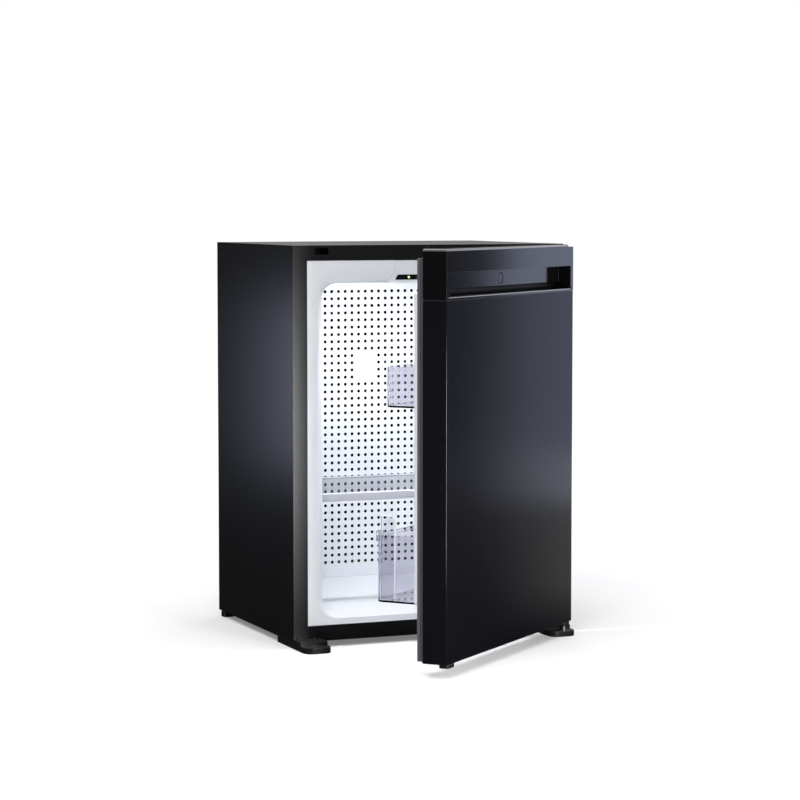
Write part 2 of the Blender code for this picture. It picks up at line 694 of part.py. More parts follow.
def make_shelf():
    """The glass shelf and the two trims that carry it on the ribs."""
    half = CABINET_WIDTH / 2 - CHAMBER_SIDE + RIB_DEPTH - FIT_GAP
    bottom = BASE + FIRST_RIB_TOP + FIT_GAP
    glass_bottom = bottom + GLASS_LIFT
    for name, front, side in (("shelf_front_trim", SHELF_FRONT, 1),
                              ("shelf_rear_trim", SHELF_REAR - TRIM_DEPTH, -1)):
        trim = block(name, (-half, front, bottom), (half, front + TRIM_DEPTH, bottom + TRIM_HEIGHT),
                     TRIM_GREY, radius=TRIM_RADIUS, along="X")
        if side > 0:
            slot = (front + TRIM_DEPTH - GLASS_GRIP, front + TRIM_DEPTH + CUT)
        else:
            slot = (front - CUT, front + GLASS_GRIP)
        cut(trim, tool_block(name + "_slot", (-half - CUT, slot[0], glass_bottom - FIT_GAP),
                             (half + CUT, slot[1], glass_bottom + SHELF_GLASS + FIT_GAP)))
    block("shelf_glass", (-half, SHELF_FRONT + TRIM_DEPTH - GLASS_GRIP + FIT_GAP, glass_bottom),
          (half, SHELF_REAR - TRIM_DEPTH + GLASS_GRIP - FIT_GAP, glass_bottom + SHELF_GLASS),
          SHELF_GLASS_TINT)


# Feet and hinge
def make_front_foot(side, name):
    """A front foot whose lip carries the hinge pin or a spare hole."""
    low_x, high_x = across(side, 0, BRACKET_WIDTH)
    foot = block(name, (low_x, -BRACKET_REACH, 0), (high_x, BRACKET_BACK, LIP_HEIGHT), FOOT_BLACK,
                 radius=BRACKET_RADIUS, edges=lambda offset: offset.y < 0)
    join(foot,
         tool_block(name + "_step", (low_x, -STEP_REACH, LIP_HEIGHT / 2),
                    (high_x, -FIT_GAP, STEP_HEIGHT)),
         tool_block(name + "_pad", (low_x, -SHEET, LIP_HEIGHT / 2),
                    (high_x, BRACKET_BACK, BASE - FIT_GAP)))
    pin_x = side * (CABINET_WIDTH / 2 - HINGE_INSET)
    cut(foot, tool_rod(name + "_pin_hole", (pin_x, HINGE_Y, LIP_HEIGHT / 4), (pin_x, HINGE_Y, CUT),
                       BORE_RADIUS))
    if side < 0:
        plug = rod(name + "_screw_3", (pin_x, HINGE_Y, LIP_HEIGHT + FIT_GAP),
                   (pin_x, HINGE_Y, LIP_HEIGHT + FIT_GAP + SCREW_HEAD), SCREW_RADIUS, SCREW_BLACK,
                   sides=14)
        join(plug, tool_rod(name + "_plug_shank", (pin_x, HINGE_Y, LIP_HEIGHT / 2),
                            (pin_x, HINGE_Y, LIP_HEIGHT + SCREW_HEAD), HINGE_PIN_RADIUS))
    for index, inset in enumerate(SCREW_INSETS):
        x = side * (CABINET_WIDTH / 2 - inset)
        cut(foot, tool_rod(f"{name}_screw_hole_{index}", (x, -SCREW_FRONT, LIP_HEIGHT / 4),
                           (x, -SCREW_FRONT, STEP_HEIGHT + CUT), SCREW_SHANK + FIT_GAP, sides=12))
        screw = rod(f"{name}_screw_{index + 1}", (x, -SCREW_FRONT, STEP_HEIGHT + FIT_GAP),
                    (x, -SCREW_FRONT, STEP_HEIGHT + FIT_GAP + SCREW_HEAD), SCREW_RADIUS,
                    SCREW_BLACK, sides=14)
        join(screw, tool_rod(f"{name}_shank_{index}", (x, -SCREW_FRONT, LIP_HEIGHT / 2),
                             (x, -SCREW_FRONT, STEP_HEIGHT + SCREW_HEAD), SCREW_SHANK, sides=12))


def make_rear_foot(side, name):
    """A rear foot block."""
    low_x, high_x = across(side, 0, REAR_FOOT_WIDTH)
    back = CABINET_DEPTH - REAR_FOOT_SETBACK
    block(name, (low_x, back - REAR_FOOT_LENGTH, 0), (high_x, back, BASE - FIT_GAP), FOOT_BLACK,
          radius=REAR_FOOT_RADIUS)


def make_hinge():
    """The pin on the right foot, and the arm and pin above the door."""
    pin = rod("lower_hinge_pin", (HINGE_X, HINGE_Y, LIP_HEIGHT / 4 + FIT_GAP),
              (HINGE_X, HINGE_Y, DOOR_BOTTOM + PIN_DEPTH - FIT_GAP), HINGE_PIN_RADIUS, STEEL)
    smooth(pin)
    arm = block("upper_hinge_arm", (HINGE_X - ARM_HALF_WIDTH, HINGE_Y, ARM_BOTTOM),
                (HINGE_X + ARM_HALF_WIDTH, ARM_ROOT, ARM_TOP), STEEL)
    join(arm, tool_rod("arm_end", (HINGE_X, HINGE_Y, ARM_BOTTOM), (HINGE_X, HINGE_Y, ARM_TOP),
                       ARM_HALF_WIDTH, sides=24))
    cut(arm, tool_rod("arm_hole", (HINGE_X, HINGE_Y, ARM_BOTTOM - CUT),
                      (HINGE_X, HINGE_Y, ARM_TOP + CUT), BORE_RADIUS))
    rod("upper_hinge_pin", (HINGE_X, HINGE_Y, ARM_BOTTOM - PIN_DEPTH + FIT_GAP),
        (HINGE_X, HINGE_Y, TOP - FIT_GAP), HINGE_PIN_RADIUS, STEEL)


def make_latch_keeper():
    """The cup behind the slot in the flange that a lock's hook would enter."""
    low, high = keeper_corners(0)
    keeper = block("latch_keeper", low, high, TRIM_BLACK)
    cut(keeper, tool_block("keeper_space", (low[0] + KEEPER_WALL, -CUT, low[2] + KEEPER_WALL),
                           (high[0] - KEEPER_WALL, high[1] - KEEPER_WALL, high[2] - KEEPER_WALL)))


# Door
def make_door_shell():
    """The black skin of the door: front, sides and bottom."""
    shell = block("door_shell", (LEFT, DOOR_FACE, DOOR_BOTTOM),
                  (RIGHT, DOOR_INNER, HANDLE_SEAM - FIT_GAP), DOOR_BLACK, door,
                  radius=DOOR_EDGE_RADIUS, edges=lambda offset: offset.y < 0)
    cut(shell, tool_block("shell_inside", (LEFT + DOOR_SKIN, DOOR_FACE + DOOR_SKIN,
                                           DOOR_BOTTOM + DOOR_SKIN),
                          (RIGHT - DOOR_SKIN, DOOR_INNER + CUT, HANDLE_SEAM + CUT), door))
    for side in (-1, 1):
        cut(shell, spigot_shape(f"shell_spigot_hole_{side}", side, FIT_GAP))


def spigot_shape(name, side, grow):
    """The square spigot of a bottom corner fitting."""
    x = side * HINGE_X
    half = SPIGOT_HALF_WIDTH + grow
    return tool_block(name, (x - half, DOOR_FACE + SPIGOT_MARGIN - grow, DOOR_BOTTOM - BUSH_DROP / 2),
                      (x + half, -BUSH_BACK - SPIGOT_MARGIN + grow,
                       DOOR_BOTTOM + SPIGOT_LENGTH + grow), door)


def make_corner_fitting(name, side, bored):
    """The block below a bottom corner: the hinge bush, or the plug that mirrors it."""
    x = side * HINGE_X
    fitting = block(name, (x - BUSH_HALF_WIDTH, DOOR_FACE + FIT_GAP, DOOR_BOTTOM - BUSH_DROP),
                    (x + BUSH_HALF_WIDTH, -BUSH_BACK, DOOR_BOTTOM - FIT_GAP), FOOT_BLACK, door,
                    radius=BUSH_RADIUS)
    join(fitting, spigot_shape(name + "_spigot", side, 0))
    if bored:
        cut(fitting, tool_rod(name + "_bore", (x, HINGE_Y, 0), (x, HINGE_Y, DOOR_BOTTOM + PIN_DEPTH),
                              BORE_RADIUS, door))


def handle_pockets(grow):
    """The hollow behind and above the grip recess, as two boxes."""
    low_x = LEFT + MOULDING_WALL - grow
    high_x = HINGE_X - MOULDING_HINGE_BLOCK + grow
    recess_back = DOOR_FACE + RECESS_DEPTH + MOULDING_WALL
    top = DOOR_TOP - MOULDING_CAP + grow
    rear = DOOR_INNER - MOULDING_WALL + grow
    behind = ((low_x, recess_back - grow, HANDLE_SEAM - CUT), (high_x, rear, top))
    above = ((low_x, DOOR_FACE + MOULDING_WALL - grow, FOLD + MOULDING_WALL - grow),
             (high_x, rear - MOULDING_WALL, top))
    return behind, above


def make_handle_moulding():
    """The top of the door with the full-width grip recess."""
    handle = block("handle_moulding", (LEFT, DOOR_FACE, HANDLE_SEAM), (RIGHT, DOOR_INNER, DOOR_TOP),
                   TRIM_BLACK, door, radius=DOOR_EDGE_RADIUS, along="Z",
                   edges=lambda offset: offset.y < 0)
    recess = tool_block("grip_recess", (LEFT + RECESS_END_WALL, DOOR_FACE - CUT, FOLD - RECESS_HEIGHT),
                        (RIGHT - RECESS_END_WALL, DOOR_FACE + RECESS_DEPTH, FOLD), door,
                        radius=RECESS_SCOOP, along="X", segments=5,
                        edges=lambda offset: offset.y > 0 and offset.z < 0)
    behind, above = handle_pockets(0)
    arm_low = (HINGE_X - NOTCH_MARGIN, DOOR_FACE - CUT, ARM_BOTTOM - FIT_GAP)
    button_z = FOLD - BUTTON_DROP
    cut(handle, recess, tool_block("handle_hollow_behind", *behind, door),
        tool_block("handle_hollow_above", *above, door),
        tool_block("arm_pocket", arm_low, (RIGHT + CUT, DOOR_INNER + CUT, TOP + CUT), door),
        tool_rod("bush_bore", (HINGE_X, HINGE_Y, ARM_BOTTOM - PIN_DEPTH - FIT_GAP),
                 (HINGE_X, HINGE_Y, ARM_BOTTOM), BORE_RADIUS + BUSH_WALL + FIT_GAP, door),
        tool_rod("button_bore", (0, DOOR_FACE + RECESS_DEPTH - CUT / 2, button_z),
                 (0, DOOR_FACE + RECESS_DEPTH + CUT / 2, button_z), BUTTON_RADIUS + FIT_GAP, door,
                 sides=32))


def make_upper_bush():
    """The plastic bush in the handle moulding that turns on the upper pin."""
    top = ARM_BOTTOM - 2 * FIT_GAP
    bush = rod("upper_bush", (HINGE_X, HINGE_Y, ARM_BOTTOM - PIN_DEPTH), (HINGE_X, HINGE_Y, top),
               BORE_RADIUS + BUSH_WALL, LINER_WHITE, door)
    cut(bush, tool_rod("upper_bush_bore", (HINGE_X, HINGE_Y, 0), (HINGE_X, HINGE_Y, TOP + CUT),
                       BORE_RADIUS, door))


def make_door_foam():
    """The insulation inside the door, up into the handle moulding."""
    inside = CABINET_WIDTH / 2 - DOOR_SKIN - FIT_GAP
    rear = DOOR_LINER_FACE - DOOR_LINER_SHEET - FIT_GAP
    foam = block("door_foam", (-inside, DOOR_FACE + DOOR_SKIN + FIT_GAP,
                               DOOR_BOTTOM + DOOR_SKIN + FIT_GAP),
                 (inside, rear, HANDLE_SEAM - FIT_GAP), FOAM_CREAM, door)
    behind, above = handle_pockets(-FIT_GAP)
    join(foam, tool_block("foam_behind", (behind[0][0], behind[0][1], HANDLE_SEAM - CUT), behind[1],
                          door),
         tool_block("foam_above", *above, door))
    button_z = FOLD - BUTTON_DROP
    button_back = DOOR_FACE + RECESS_DEPTH + BUTTON_LENGTH + BUTTON_TRAVEL + FIT_GAP
    cut(foam, tool_rod("foam_button_space", (0, DOOR_FACE + RECESS_DEPTH, button_z),
                       (0, button_back, button_z), BUTTON_RADIUS + 2 * FIT_GAP, door, sides=32))
    for side in (-1, 1):
        cut(foam, spigot_shape(f"foam_spigot_space_{side}", side, FIT_GAP))


def make_door_liner():
    """The white inner panel with the ridges that hold the bins."""
    inside = CABINET_WIDTH / 2 - DOOR_SKIN - FIT_GAP
    liner = block("door_liner", (-inside, DOOR_LINER_FACE - DOOR_LINER_SHEET,
                                 DOOR_BOTTOM + DOOR_SKIN + FIT_GAP),
                  (inside, DOOR_LINER_FACE, HANDLE_SEAM - FIT_GAP), LINER_WHITE, door)
    overlap = DOOR_LINER_FACE - DOOR_LINER_PROUD / 2
    for side in (-1, 1):
        low_x, high_x = across(side, DIKE_INSET, DIKE_INSET + DIKE_WIDTH)
        join(liner, tool_block(f"dike_{side}", (low_x, overlap, BASE + DIKE_BOTTOM),
                               (high_x, DIKE_REACH, TOP - DIKE_TOP_DROP), door, radius=DIKE_RADIUS,
                               edges=lambda offset: offset.y > 0))
    ridge = CABINET_WIDTH / 2 - DIKE_INSET - DIKE_WIDTH / 2
    levels = (("rest", BASE + DIKE_REST_TOP - DIKE_CROSS_HEIGHT),
              ("top", TOP - DIKE_TOP_DROP - DIKE_CROSS_HEIGHT - FIT_GAP))
    for word, low_z in levels:
        join(liner, tool_block(f"dike_{word}", (-ridge, overlap, low_z),
                               (ridge, DIKE_CROSS_REACH, low_z + DIKE_CROSS_HEIGHT), door))


def make_gasket():
    """The magnetic gasket: a frame with a broad foot and a narrower face."""
    low = Vector((LEFT + GASKET_FREE_INSET, DOOR_LINER_FACE + FIT_GAP, BASE + GASKET_BOTTOM))
    high = Vector((RIGHT - GASKET_HINGE_INSET, -GASKET_SEAL_GAP, TOP - GASKET_TOP_DROP))
    foot_top = low.y + GASKET_FOOT
    gasket = block("door_gasket", low, (high.x, foot_top, high.z), SEAL_GREY, door)
    step = Vector((GASKET_STEP, 0, GASKET_STEP))
    face_low = Vector((low.x, foot_top - GASKET_STEP / 2, low.z)) + step
    join(gasket, tool_block("gasket_face", face_low, high - step, door))
    rim = Vector((GASKET_WIDTH, 0, GASKET_WIDTH))
    cut(gasket, tool_block("gasket_inside_foot", low + rim - Vector((0, CUT, 0)),
                           (high.x - GASKET_WIDTH, foot_top, high.z - GASKET_WIDTH), door),
        tool_block("gasket_inside_face", low + rim - step - Vector((0, CUT, 0)),
                   high - rim + step + Vector((0, CUT, 0)), door))


def make_button():
    """The round lock button on the back of the grip recess."""
    face = DOOR_FACE + RECESS_DEPTH - BUTTON_PROUD
    height = FOLD - BUTTON_DROP
    rod("lock_button", (0, face, height), (0, face + BUTTON_LENGTH, height), BUTTON_RADIUS,
        TRIM_BLACK, door, sides=32)


def make_bin(name, bottom, height, reach):
    """A clear bin between the ridges of the door liner."""
    half = CABINET_WIDTH / 2 - DIKE_INSET - DIKE_WIDTH - BIN_GAP
    low = Vector((-half, DOOR_LINER_FACE + BIN_GAP, bottom))
    high = Vector((half, reach, bottom + height))
    tray = block(name, low, high, SMOKE_CLEAR, door, radius=BIN_RADIUS, segments=4,
                 edges=lambda offset: offset.y > 0)
    wall = Vector((BIN_WALL, BIN_WALL, BIN_WALL))
    cut(tray, tool_block(name + "_space", low + wall,
                         (high.x - BIN_WALL, high.y - BIN_WALL, high.z + CUT), door,
                         radius=BIN_RADIUS - BIN_WALL, segments=4, edges=lambda offset: offset.y > 0))


def make_retainer():
    """The divider that clips over the lower bin's front wall and slides along it."""
    x = LEFT + RETAINER_INSET
    rim = BASE + LOWER_BIN_BOTTOM + LOWER_BIN_HEIGHT
    inner = LOWER_BIN_REACH - BIN_WALL - FIT_GAP
    outer = LOWER_BIN_REACH + FIT_GAP
    half = RETAINER_THICKNESS / 2
    retainer = block("bottle_retainer", (x - half, inner - RETAINER_DEPTH, BASE + LOWER_BIN_BOTTOM
                                         + BIN_WALL + FIT_GAP),
                     (x + half, inner, BASE + RETAINER_TOP), SMOKE_CLEAR, door, radius=RETAINER_RADIUS,
                     along="X", segments=4, edges=lambda offset: offset.y < 0 and offset.z > 0)
    clip = RETAINER_CLIP_WIDTH / 2
    join(retainer,
         tool_block("retainer_cap", (x - clip, inner - RETAINER_CLIP_WALL, rim + FIT_GAP),
                    (x + clip, outer + RETAINER_CLIP_WALL, rim + FIT_GAP + RETAINER_CAP_HEIGHT), door),
         tool_block("retainer_leg", (x - clip, outer, rim - RETAINER_CLIP_DROP),
                    (x + clip, outer + RETAINER_CLIP_WALL, rim + FIT_GAP + RETAINER_CAP_HEIGHT / 2),
                    door))


# Cooling unit
def make_unit_brackets():
    """Three steel straps on the back plate that carry the unit."""
    half = RIGHT - BRACKET_PLATE_INSET
    for name, middle in (("unit_strap_lower", VESSEL_HEIGHT), ("unit_strap_middle", COIL_BOTTOM
                         + COIL_PITCH * (COIL_RUNS - 1) / 2), ("unit_strap_upper", CONDENSER_HEIGHT)):
        height = BRACKET_PLATE_HEIGHT
        if name == "unit_strap_middle":
            height = COIL_PITCH * (COIL_RUNS - 1)
        block(name, (-half, BACK_FACE + FIT_GAP, middle - height / 2),
              (half, BACK_FACE + FIT_GAP + BRACKET_PLATE, middle + height / 2), UNIT_BLACK)


def make_evaporator():
    """The insulating plug and the two tubes that go through it."""
    plug = plug_shape("unit_plug", BRACKET_PLATE, 0)
    cutters.objects.unlink(plug)
    parts.objects.link(plug)
    plug.hide_render = False
    plug.display_type = "TEXTURED"
    plug.data.materials.append(FOAM_CREAM)
    height = TUBE_LEVEL
    for side, name in ((-1, "evaporator_feed"), (1, "evaporator_return")):
        x = side * EVAPORATOR_TUBE_SPACING / 2
        cut(plug, tool_rod(name + "_hole", (x, CHAMBER_BACK - CUT, height), (x, REAR_REACH, height),
                           EVAPORATOR_TUBE_RADIUS + FIT_GAP))
        rod(name, (x, CHAMBER_BACK, height), (x, BACK_FACE + EVAPORATOR_TUBE_REACH, height),
            EVAPORATOR_TUBE_RADIUS, UNIT_BLACK)


def make_boiler():
    """The insulated boiler with its heater cartridge."""
    y = UNIT_FACE + BOILER_RADIUS
    top = BOILER_BOTTOM + BOILER_HEIGHT
    rod("boiler_canister", (BOILER_OFFSET, y, BOILER_BOTTOM), (BOILER_OFFSET, y, top),
        BOILER_RADIUS, CANISTER_GREY, sides=28)
    rod("heater_cartridge", (BOILER_OFFSET, y, BOILER_BOTTOM - FIT_GAP - HEATER_LENGTH),
        (BOILER_OFFSET, y, BOILER_BOTTOM - FIT_GAP), HEATER_RADIUS, STEEL)
    return Vector((BOILER_OFFSET, y, top))


def make_absorber():
    """The absorber vessel and the coil that rises from it."""
    y = UNIT_FACE + VESSEL_RADIUS
    half = VESSEL_LENGTH / 2
    rod("absorber_vessel", (VESSEL_OFFSET - half, y, VESSEL_HEIGHT),
        (VESSEL_OFFSET + half, y, VESSEL_HEIGHT), VESSEL_RADIUS, UNIT_BLACK, sides=28)
    coil_y = UNIT_FACE + COIL_RADIUS
    corners = [Vector((VESSEL_OFFSET - COIL_HALF_LENGTH, coil_y,
                       VESSEL_HEIGHT + VESSEL_RADIUS + FIT_GAP))]
    for run in range(COIL_RUNS):
        z = COIL_BOTTOM + COIL_PITCH * run
        ends = (-COIL_HALF_LENGTH, COIL_HALF_LENGTH)
        if run % 2:
            ends = ends[::-1]
        corners += [Vector((VESSEL_OFFSET + x, coil_y, z)) for x in ends]
    corners.append(Vector((corners[-1].x, coil_y, corners[-1].z + COIL_PITCH)))
    tube("absorber_coil", rounded_path(corners, COIL_PITCH / 2 - SHEET), COIL_RADIUS, UNIT_BLACK)


def make_condenser():
    """The finned condenser tube across the top of the unit."""
    fin_depth = REAR_REACH - UNIT_FACE
    y = UNIT_FACE + fin_depth / 2
    half = CONDENSER_HALF_LENGTH
    condenser = rod("condenser", (-half, y, CONDENSER_HEIGHT), (half, y, CONDENSER_HEIGHT),
                    CONDENSER_RADIUS, UNIT_BLACK)
    pitch = 2 * (half - CUT) / (CONDENSER_FINS - 1)
    for index in range(CONDENSER_FINS):
        x = -half + CUT + pitch * index
        thick = CONDENSER_FIN_THICKNESS / 2
        join(condenser, tool_block(f"condenser_fin_{index}", (x - thick, UNIT_FACE,
                                                             CONDENSER_HEIGHT - CONDENSER_FIN_HEIGHT / 2),
                                   (x + thick, REAR_REACH, CONDENSER_HEIGHT + CONDENSER_FIN_HEIGHT / 2)))
    return y


def make_pipes(boiler_top, condenser_y):
    """The pipes between boiler, condenser, evaporator and absorber."""
    bend = PIPE_REACH
    end_x = CONDENSER_HALF_LENGTH + FIT_GAP
    riser = [boiler_top + Vector((0, 0, FIT_GAP)),
             Vector((boiler_top.x, boiler_top.y, CONDENSER_HEIGHT - CONDENSER_FIN_HEIGHT / 2 - bend)),
             Vector((end_x + bend, condenser_y, CONDENSER_HEIGHT - CONDENSER_FIN_HEIGHT / 2 - PIPE_DIP)),
             Vector((end_x + bend, condenser_y, CONDENSER_HEIGHT)),
             Vector((end_x, condenser_y, CONDENSER_HEIGHT))]
    tube("riser_pipe", rounded_path(riser, PIPE_TURN), PIPE_RADIUS, UNIT_BLACK)
    feed_x = -EVAPORATOR_TUBE_SPACING / 2
    feed_y = BACK_FACE + EVAPORATOR_TUBE_REACH + FIT_GAP
    feed = [Vector((-end_x, condenser_y, CONDENSER_HEIGHT)),
            Vector((-end_x - bend, condenser_y, CONDENSER_HEIGHT)),
            Vector((-end_x - bend, condenser_y, TUBE_LEVEL)),
            Vector((feed_x, condenser_y, TUBE_LEVEL)),
            Vector((feed_x, feed_y, TUBE_LEVEL))]
    tube("liquid_pipe", rounded_path(feed, PIPE_TURN), PIPE_RADIUS, UNIT_BLACK)


def make_power_box():
    """The control box on the back with its bare mains inlet."""
    half = POWER_BOX_WIDTH / 2
    front = BACK_FACE + FIT_GAP
    x = POWER_BOX_OFFSET
    block("power_box", (x - half, front, POWER_BOX_BOTTOM),
          (x + half, front + POWER_BOX_DEPTH, POWER_BOX_TOP), FOOT_BLACK,
          radius=POWER_BOX_RADIUS, along="Y")
    inlet_half = INLET_WIDTH / 2
    top = POWER_BOX_BOTTOM - FIT_GAP
    middle = front + POWER_BOX_DEPTH / 2
    inlet = block("mains_inlet", (x - inlet_half, middle - INLET_DEPTH / 2, top - INLET_HEIGHT),
                  (x + inlet_half, middle + INLET_DEPTH / 2, top), FOOT_BLACK, radius=INLET_RADIUS)
    cut(inlet, tool_block("inlet_socket", (x - inlet_half + INLET_WALL, middle - INLET_DEPTH / 2
                                           + INLET_WALL, 0),
                          (x + inlet_half - INLET_WALL, middle + INLET_DEPTH / 2 - INLET_WALL,
                           top - INLET_WALL)))


DOOR_LINER_FACE = DOOR_INNER + DOOR_LINER_PROUD

make_outer_case()
make_base_pan()
make_back_plate()
make_cabinet_foam()
make_inner_liner()
make_back_cover()
make_cold_plate()
make_drip_gutter()
make_control_module()
make_shelf()
make_front_foot(-1, "front_foot_left")
make_front_foot(1, "front_foot_right")
make_rear_foot(-1, "rear_foot_left")
make_rear_foot(1, "rear_foot_right")
make_hinge()
make_latch_keeper()
make_door_shell()
make_handle_moulding()
make_upper_bush()
make_corner_fitting("lower_bush", 1, True)
make_corner_fitting("corner_plug", -1, False)
make_door_foam()
make_door_liner()
make_gasket()
make_button()
make_bin("lower_bin", BASE + LOWER_BIN_BOTTOM, LOWER_BIN_HEIGHT, LOWER_BIN_REACH)
make_bin("upper_bin", TOP - UPPER_BIN_DROP, UPPER_BIN_HEIGHT, UPPER_BIN_REACH)
make_retainer()
make_unit_brackets()
make_evaporator()
boiler_head = make_boiler()
make_absorber()
make_pipes(boiler_head, make_condenser())
make_power_box()
bpy.context.view_layer.update()
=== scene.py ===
"""Looks of the hotel minibar fridge: rounded shells, finishes, floor, light and camera.

Pieces are made in the part's own measures: X across from the middle, Y back
from the cabinet's front plane and Z up from the floor, with the door shut.
settle() then brings them to their place in the shared frame.
"""
import json
import math

import bmesh
import bpy
from mathutils import Matrix, Vector


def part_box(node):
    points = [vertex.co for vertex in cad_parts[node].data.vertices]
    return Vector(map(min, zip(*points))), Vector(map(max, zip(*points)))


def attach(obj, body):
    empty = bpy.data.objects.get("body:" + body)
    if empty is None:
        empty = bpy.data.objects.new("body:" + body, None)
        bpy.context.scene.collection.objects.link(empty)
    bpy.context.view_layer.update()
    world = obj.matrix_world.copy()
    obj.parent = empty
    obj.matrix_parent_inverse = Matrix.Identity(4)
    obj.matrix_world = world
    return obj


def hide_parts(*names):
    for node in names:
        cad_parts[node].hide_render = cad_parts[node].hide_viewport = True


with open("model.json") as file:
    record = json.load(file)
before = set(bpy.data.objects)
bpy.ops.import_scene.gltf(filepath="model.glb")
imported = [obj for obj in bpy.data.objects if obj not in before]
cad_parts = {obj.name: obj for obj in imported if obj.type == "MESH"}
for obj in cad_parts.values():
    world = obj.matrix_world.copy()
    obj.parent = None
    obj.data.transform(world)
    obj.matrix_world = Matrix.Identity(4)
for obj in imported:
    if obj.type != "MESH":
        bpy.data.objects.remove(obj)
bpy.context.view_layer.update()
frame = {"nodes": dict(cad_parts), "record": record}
NODES = frame["nodes"]

# Places shared with the part
MIDDLE_Y = 0.0477191
WIDTH = 0.417
HEIGHT = 0.556
BASE = 0.009
TOP = BASE + HEIGHT
LEFT = -WIDTH / 2
RIGHT = WIDTH / 2
DOOR_FACE = -0.045
DOOR_INNER = -0.010
DOOR_BOTTOM = 0.0202
DOOR_TOP = 0.5646
HANDLE_SEAM = DOOR_TOP - 0.0666
FOLD = DOOR_TOP - 0.0306
RECESS_HEIGHT = 0.0315
RECESS_DEPTH = 0.019
RECESS_END = 0.009
RECESS_BACK = DOOR_FACE + RECESS_DEPTH
LIP = FOLD - RECESS_HEIGHT
BUTTON_HEIGHT = FOLD - 0.0122
BUTTON_RADIUS = 0.0074
BUTTON_BORE = 0.0081
BUTTON_LENGTH = 0.0057
NOTCH_FLOOR = 0.5612
SKIN = 0.0012
JOINT_GAP = 0.0003
HINGE_X = 0.1925
HINGE_Y = -0.040
REST_ANGLE = math.radians(40.68)
PIN_BORE = 0.0045
PIN_BORE_DEPTH = 0.0135
COVER_FRONT = 0.251
COVER_BACK = 0.253
COVER_SIDE = 0.1622
COVER_BOTTOM = 0.0598
COVER_TOP = 0.5117
COVER_RADIUS = 0.0217
COVER_SHEET = 0.0009

# Round holes of the rear cover, and the bare plate among them, counted in holes
HOLE_PITCH_X = 0.0108
HOLE_PITCH_Z = 0.01075
HOLE_RADIUS = 0.00255
HOLE_COLUMNS = 29
HOLE_ROWS = 39
HOLES_TOP = 0.49638
PLATE_HALF_COLUMNS = 1.5
PLATE_LOW_ROW = 13
PLATE_ROWS = 4

# Seam of the control cover
SEAM_LOW = 0.5256
SEAM_HIGH = 0.5260

# Clear bins: floor, height and front of each, then their walls and line
LOWER_BIN = (BASE + 0.0773, 0.0911, 0.094)
UPPER_BIN = (TOP - 0.2145, 0.0545, 0.080)
BIN_MARGIN = 0.0663
BIN_WALL = 0.0020
BIN_FLOOR = 0.0022
BIN_CORNER = 0.012
BIN_LINE_EDGES = (0.0048, 0.0040)
BIN_LINE_MIDDLE = 0.0044
BIN_LINE_HEIGHT = 0.0004

# Picks edges and faces that lie on a plane
NEAR = 0.0001

scene = bpy.context.scene


# Working by hand in code
def rest():
    """Back to object mode with nothing selected."""
    if bpy.context.mode != "OBJECT":
        bpy.ops.object.mode_set(mode="OBJECT")
    bpy.ops.object.select_all(action="DESELECT")


def activate(*pieces):
    """Select these objects only, the first of them active."""
    rest()
    for piece in pieces:
        piece.select_set(True)
    bpy.context.view_layer.objects.active = pieces[0]


def keep_place(piece):
    """Put the object's place into its mesh."""
    activate(piece)
    bpy.ops.object.transform_apply(location=True, rotation=True, scale=True)


def box(name, low, high):
    """A cube stretched between two corners."""
    rest()
    middle = [(a + b) / 2 for a, b in zip(low, high)]
    size = [b - a for a, b in zip(low, high)]
    bpy.ops.mesh.primitive_cube_add(size=1, location=middle, scale=size)
    piece = bpy.context.active_object
    piece.name = name
    keep_place(piece)
    return piece


def bar(name, start, end, radius, sides=32):
    """A round bar between two points."""
    rest()
    start, end = Vector(start), Vector(end)
    turn = (end - start).to_track_quat("Z", "Y").to_euler()
    bpy.ops.mesh.primitive_cylinder_add(vertices=sides, radius=radius, depth=(end - start).length,
                                        location=(start + end) / 2, rotation=turn)
    piece = bpy.context.active_object
    piece.name = name
    keep_place(piece)
    return piece


def choose(piece, kind, test):
    """Enter edit mode with the vertices, edges or faces that pass the test selected."""
    activate(piece)
    bpy.ops.object.mode_set(mode="EDIT")
    bpy.ops.mesh.select_mode(type=kind)
    bpy.ops.mesh.select_all(action="DESELECT")
    mesh = bmesh.from_edit_mesh(piece.data)
    for item in {"VERT": mesh.verts, "EDGE": mesh.edges, "FACE": mesh.faces}[kind]:
        if test(item):
            item.select_set(True)
    mesh.select_flush_mode()
    bmesh.update_edit_mesh(piece.data)


def faces_towards(axis, sign):
    """A test for faces that look along an axis."""
    return lambda face: face.normal[axis] * sign > 0.9


def edges_along(axis, near=None):
    """A test for edges that run along an axis, at a place if one is given."""
    def test(edge):
        run = edge.verts[1].co - edge.verts[0].co
        middle = (edge.verts[0].co + edge.verts[1].co) / 2
        straight = run.length > 1e-6 and abs(run[axis]) > 0.99 * run.length
        return straight and (near is None or near(middle))
    return test


def round_edges(piece, test, radius, steps=6):
    """Bevel the edges that pass the test."""
    choose(piece, "EDGE", test)
    bpy.ops.mesh.bevel(offset=radius, segments=steps, affect="EDGES")
    rest()


def ring(name, low, high, width):
    """A rectangular frame between two corners, open from front to back."""
    piece = box(name, low, high)
    choose(piece, "FACE", lambda face: abs(face.normal.y) > 0.9)
    bpy.ops.mesh.inset(thickness=width, use_individual=True)
    bpy.ops.mesh.bridge_edge_loops()
    bpy.ops.mesh.select_all(action="SELECT")
    bpy.ops.mesh.normals_make_consistent(inside=False)
    rest()
    return piece


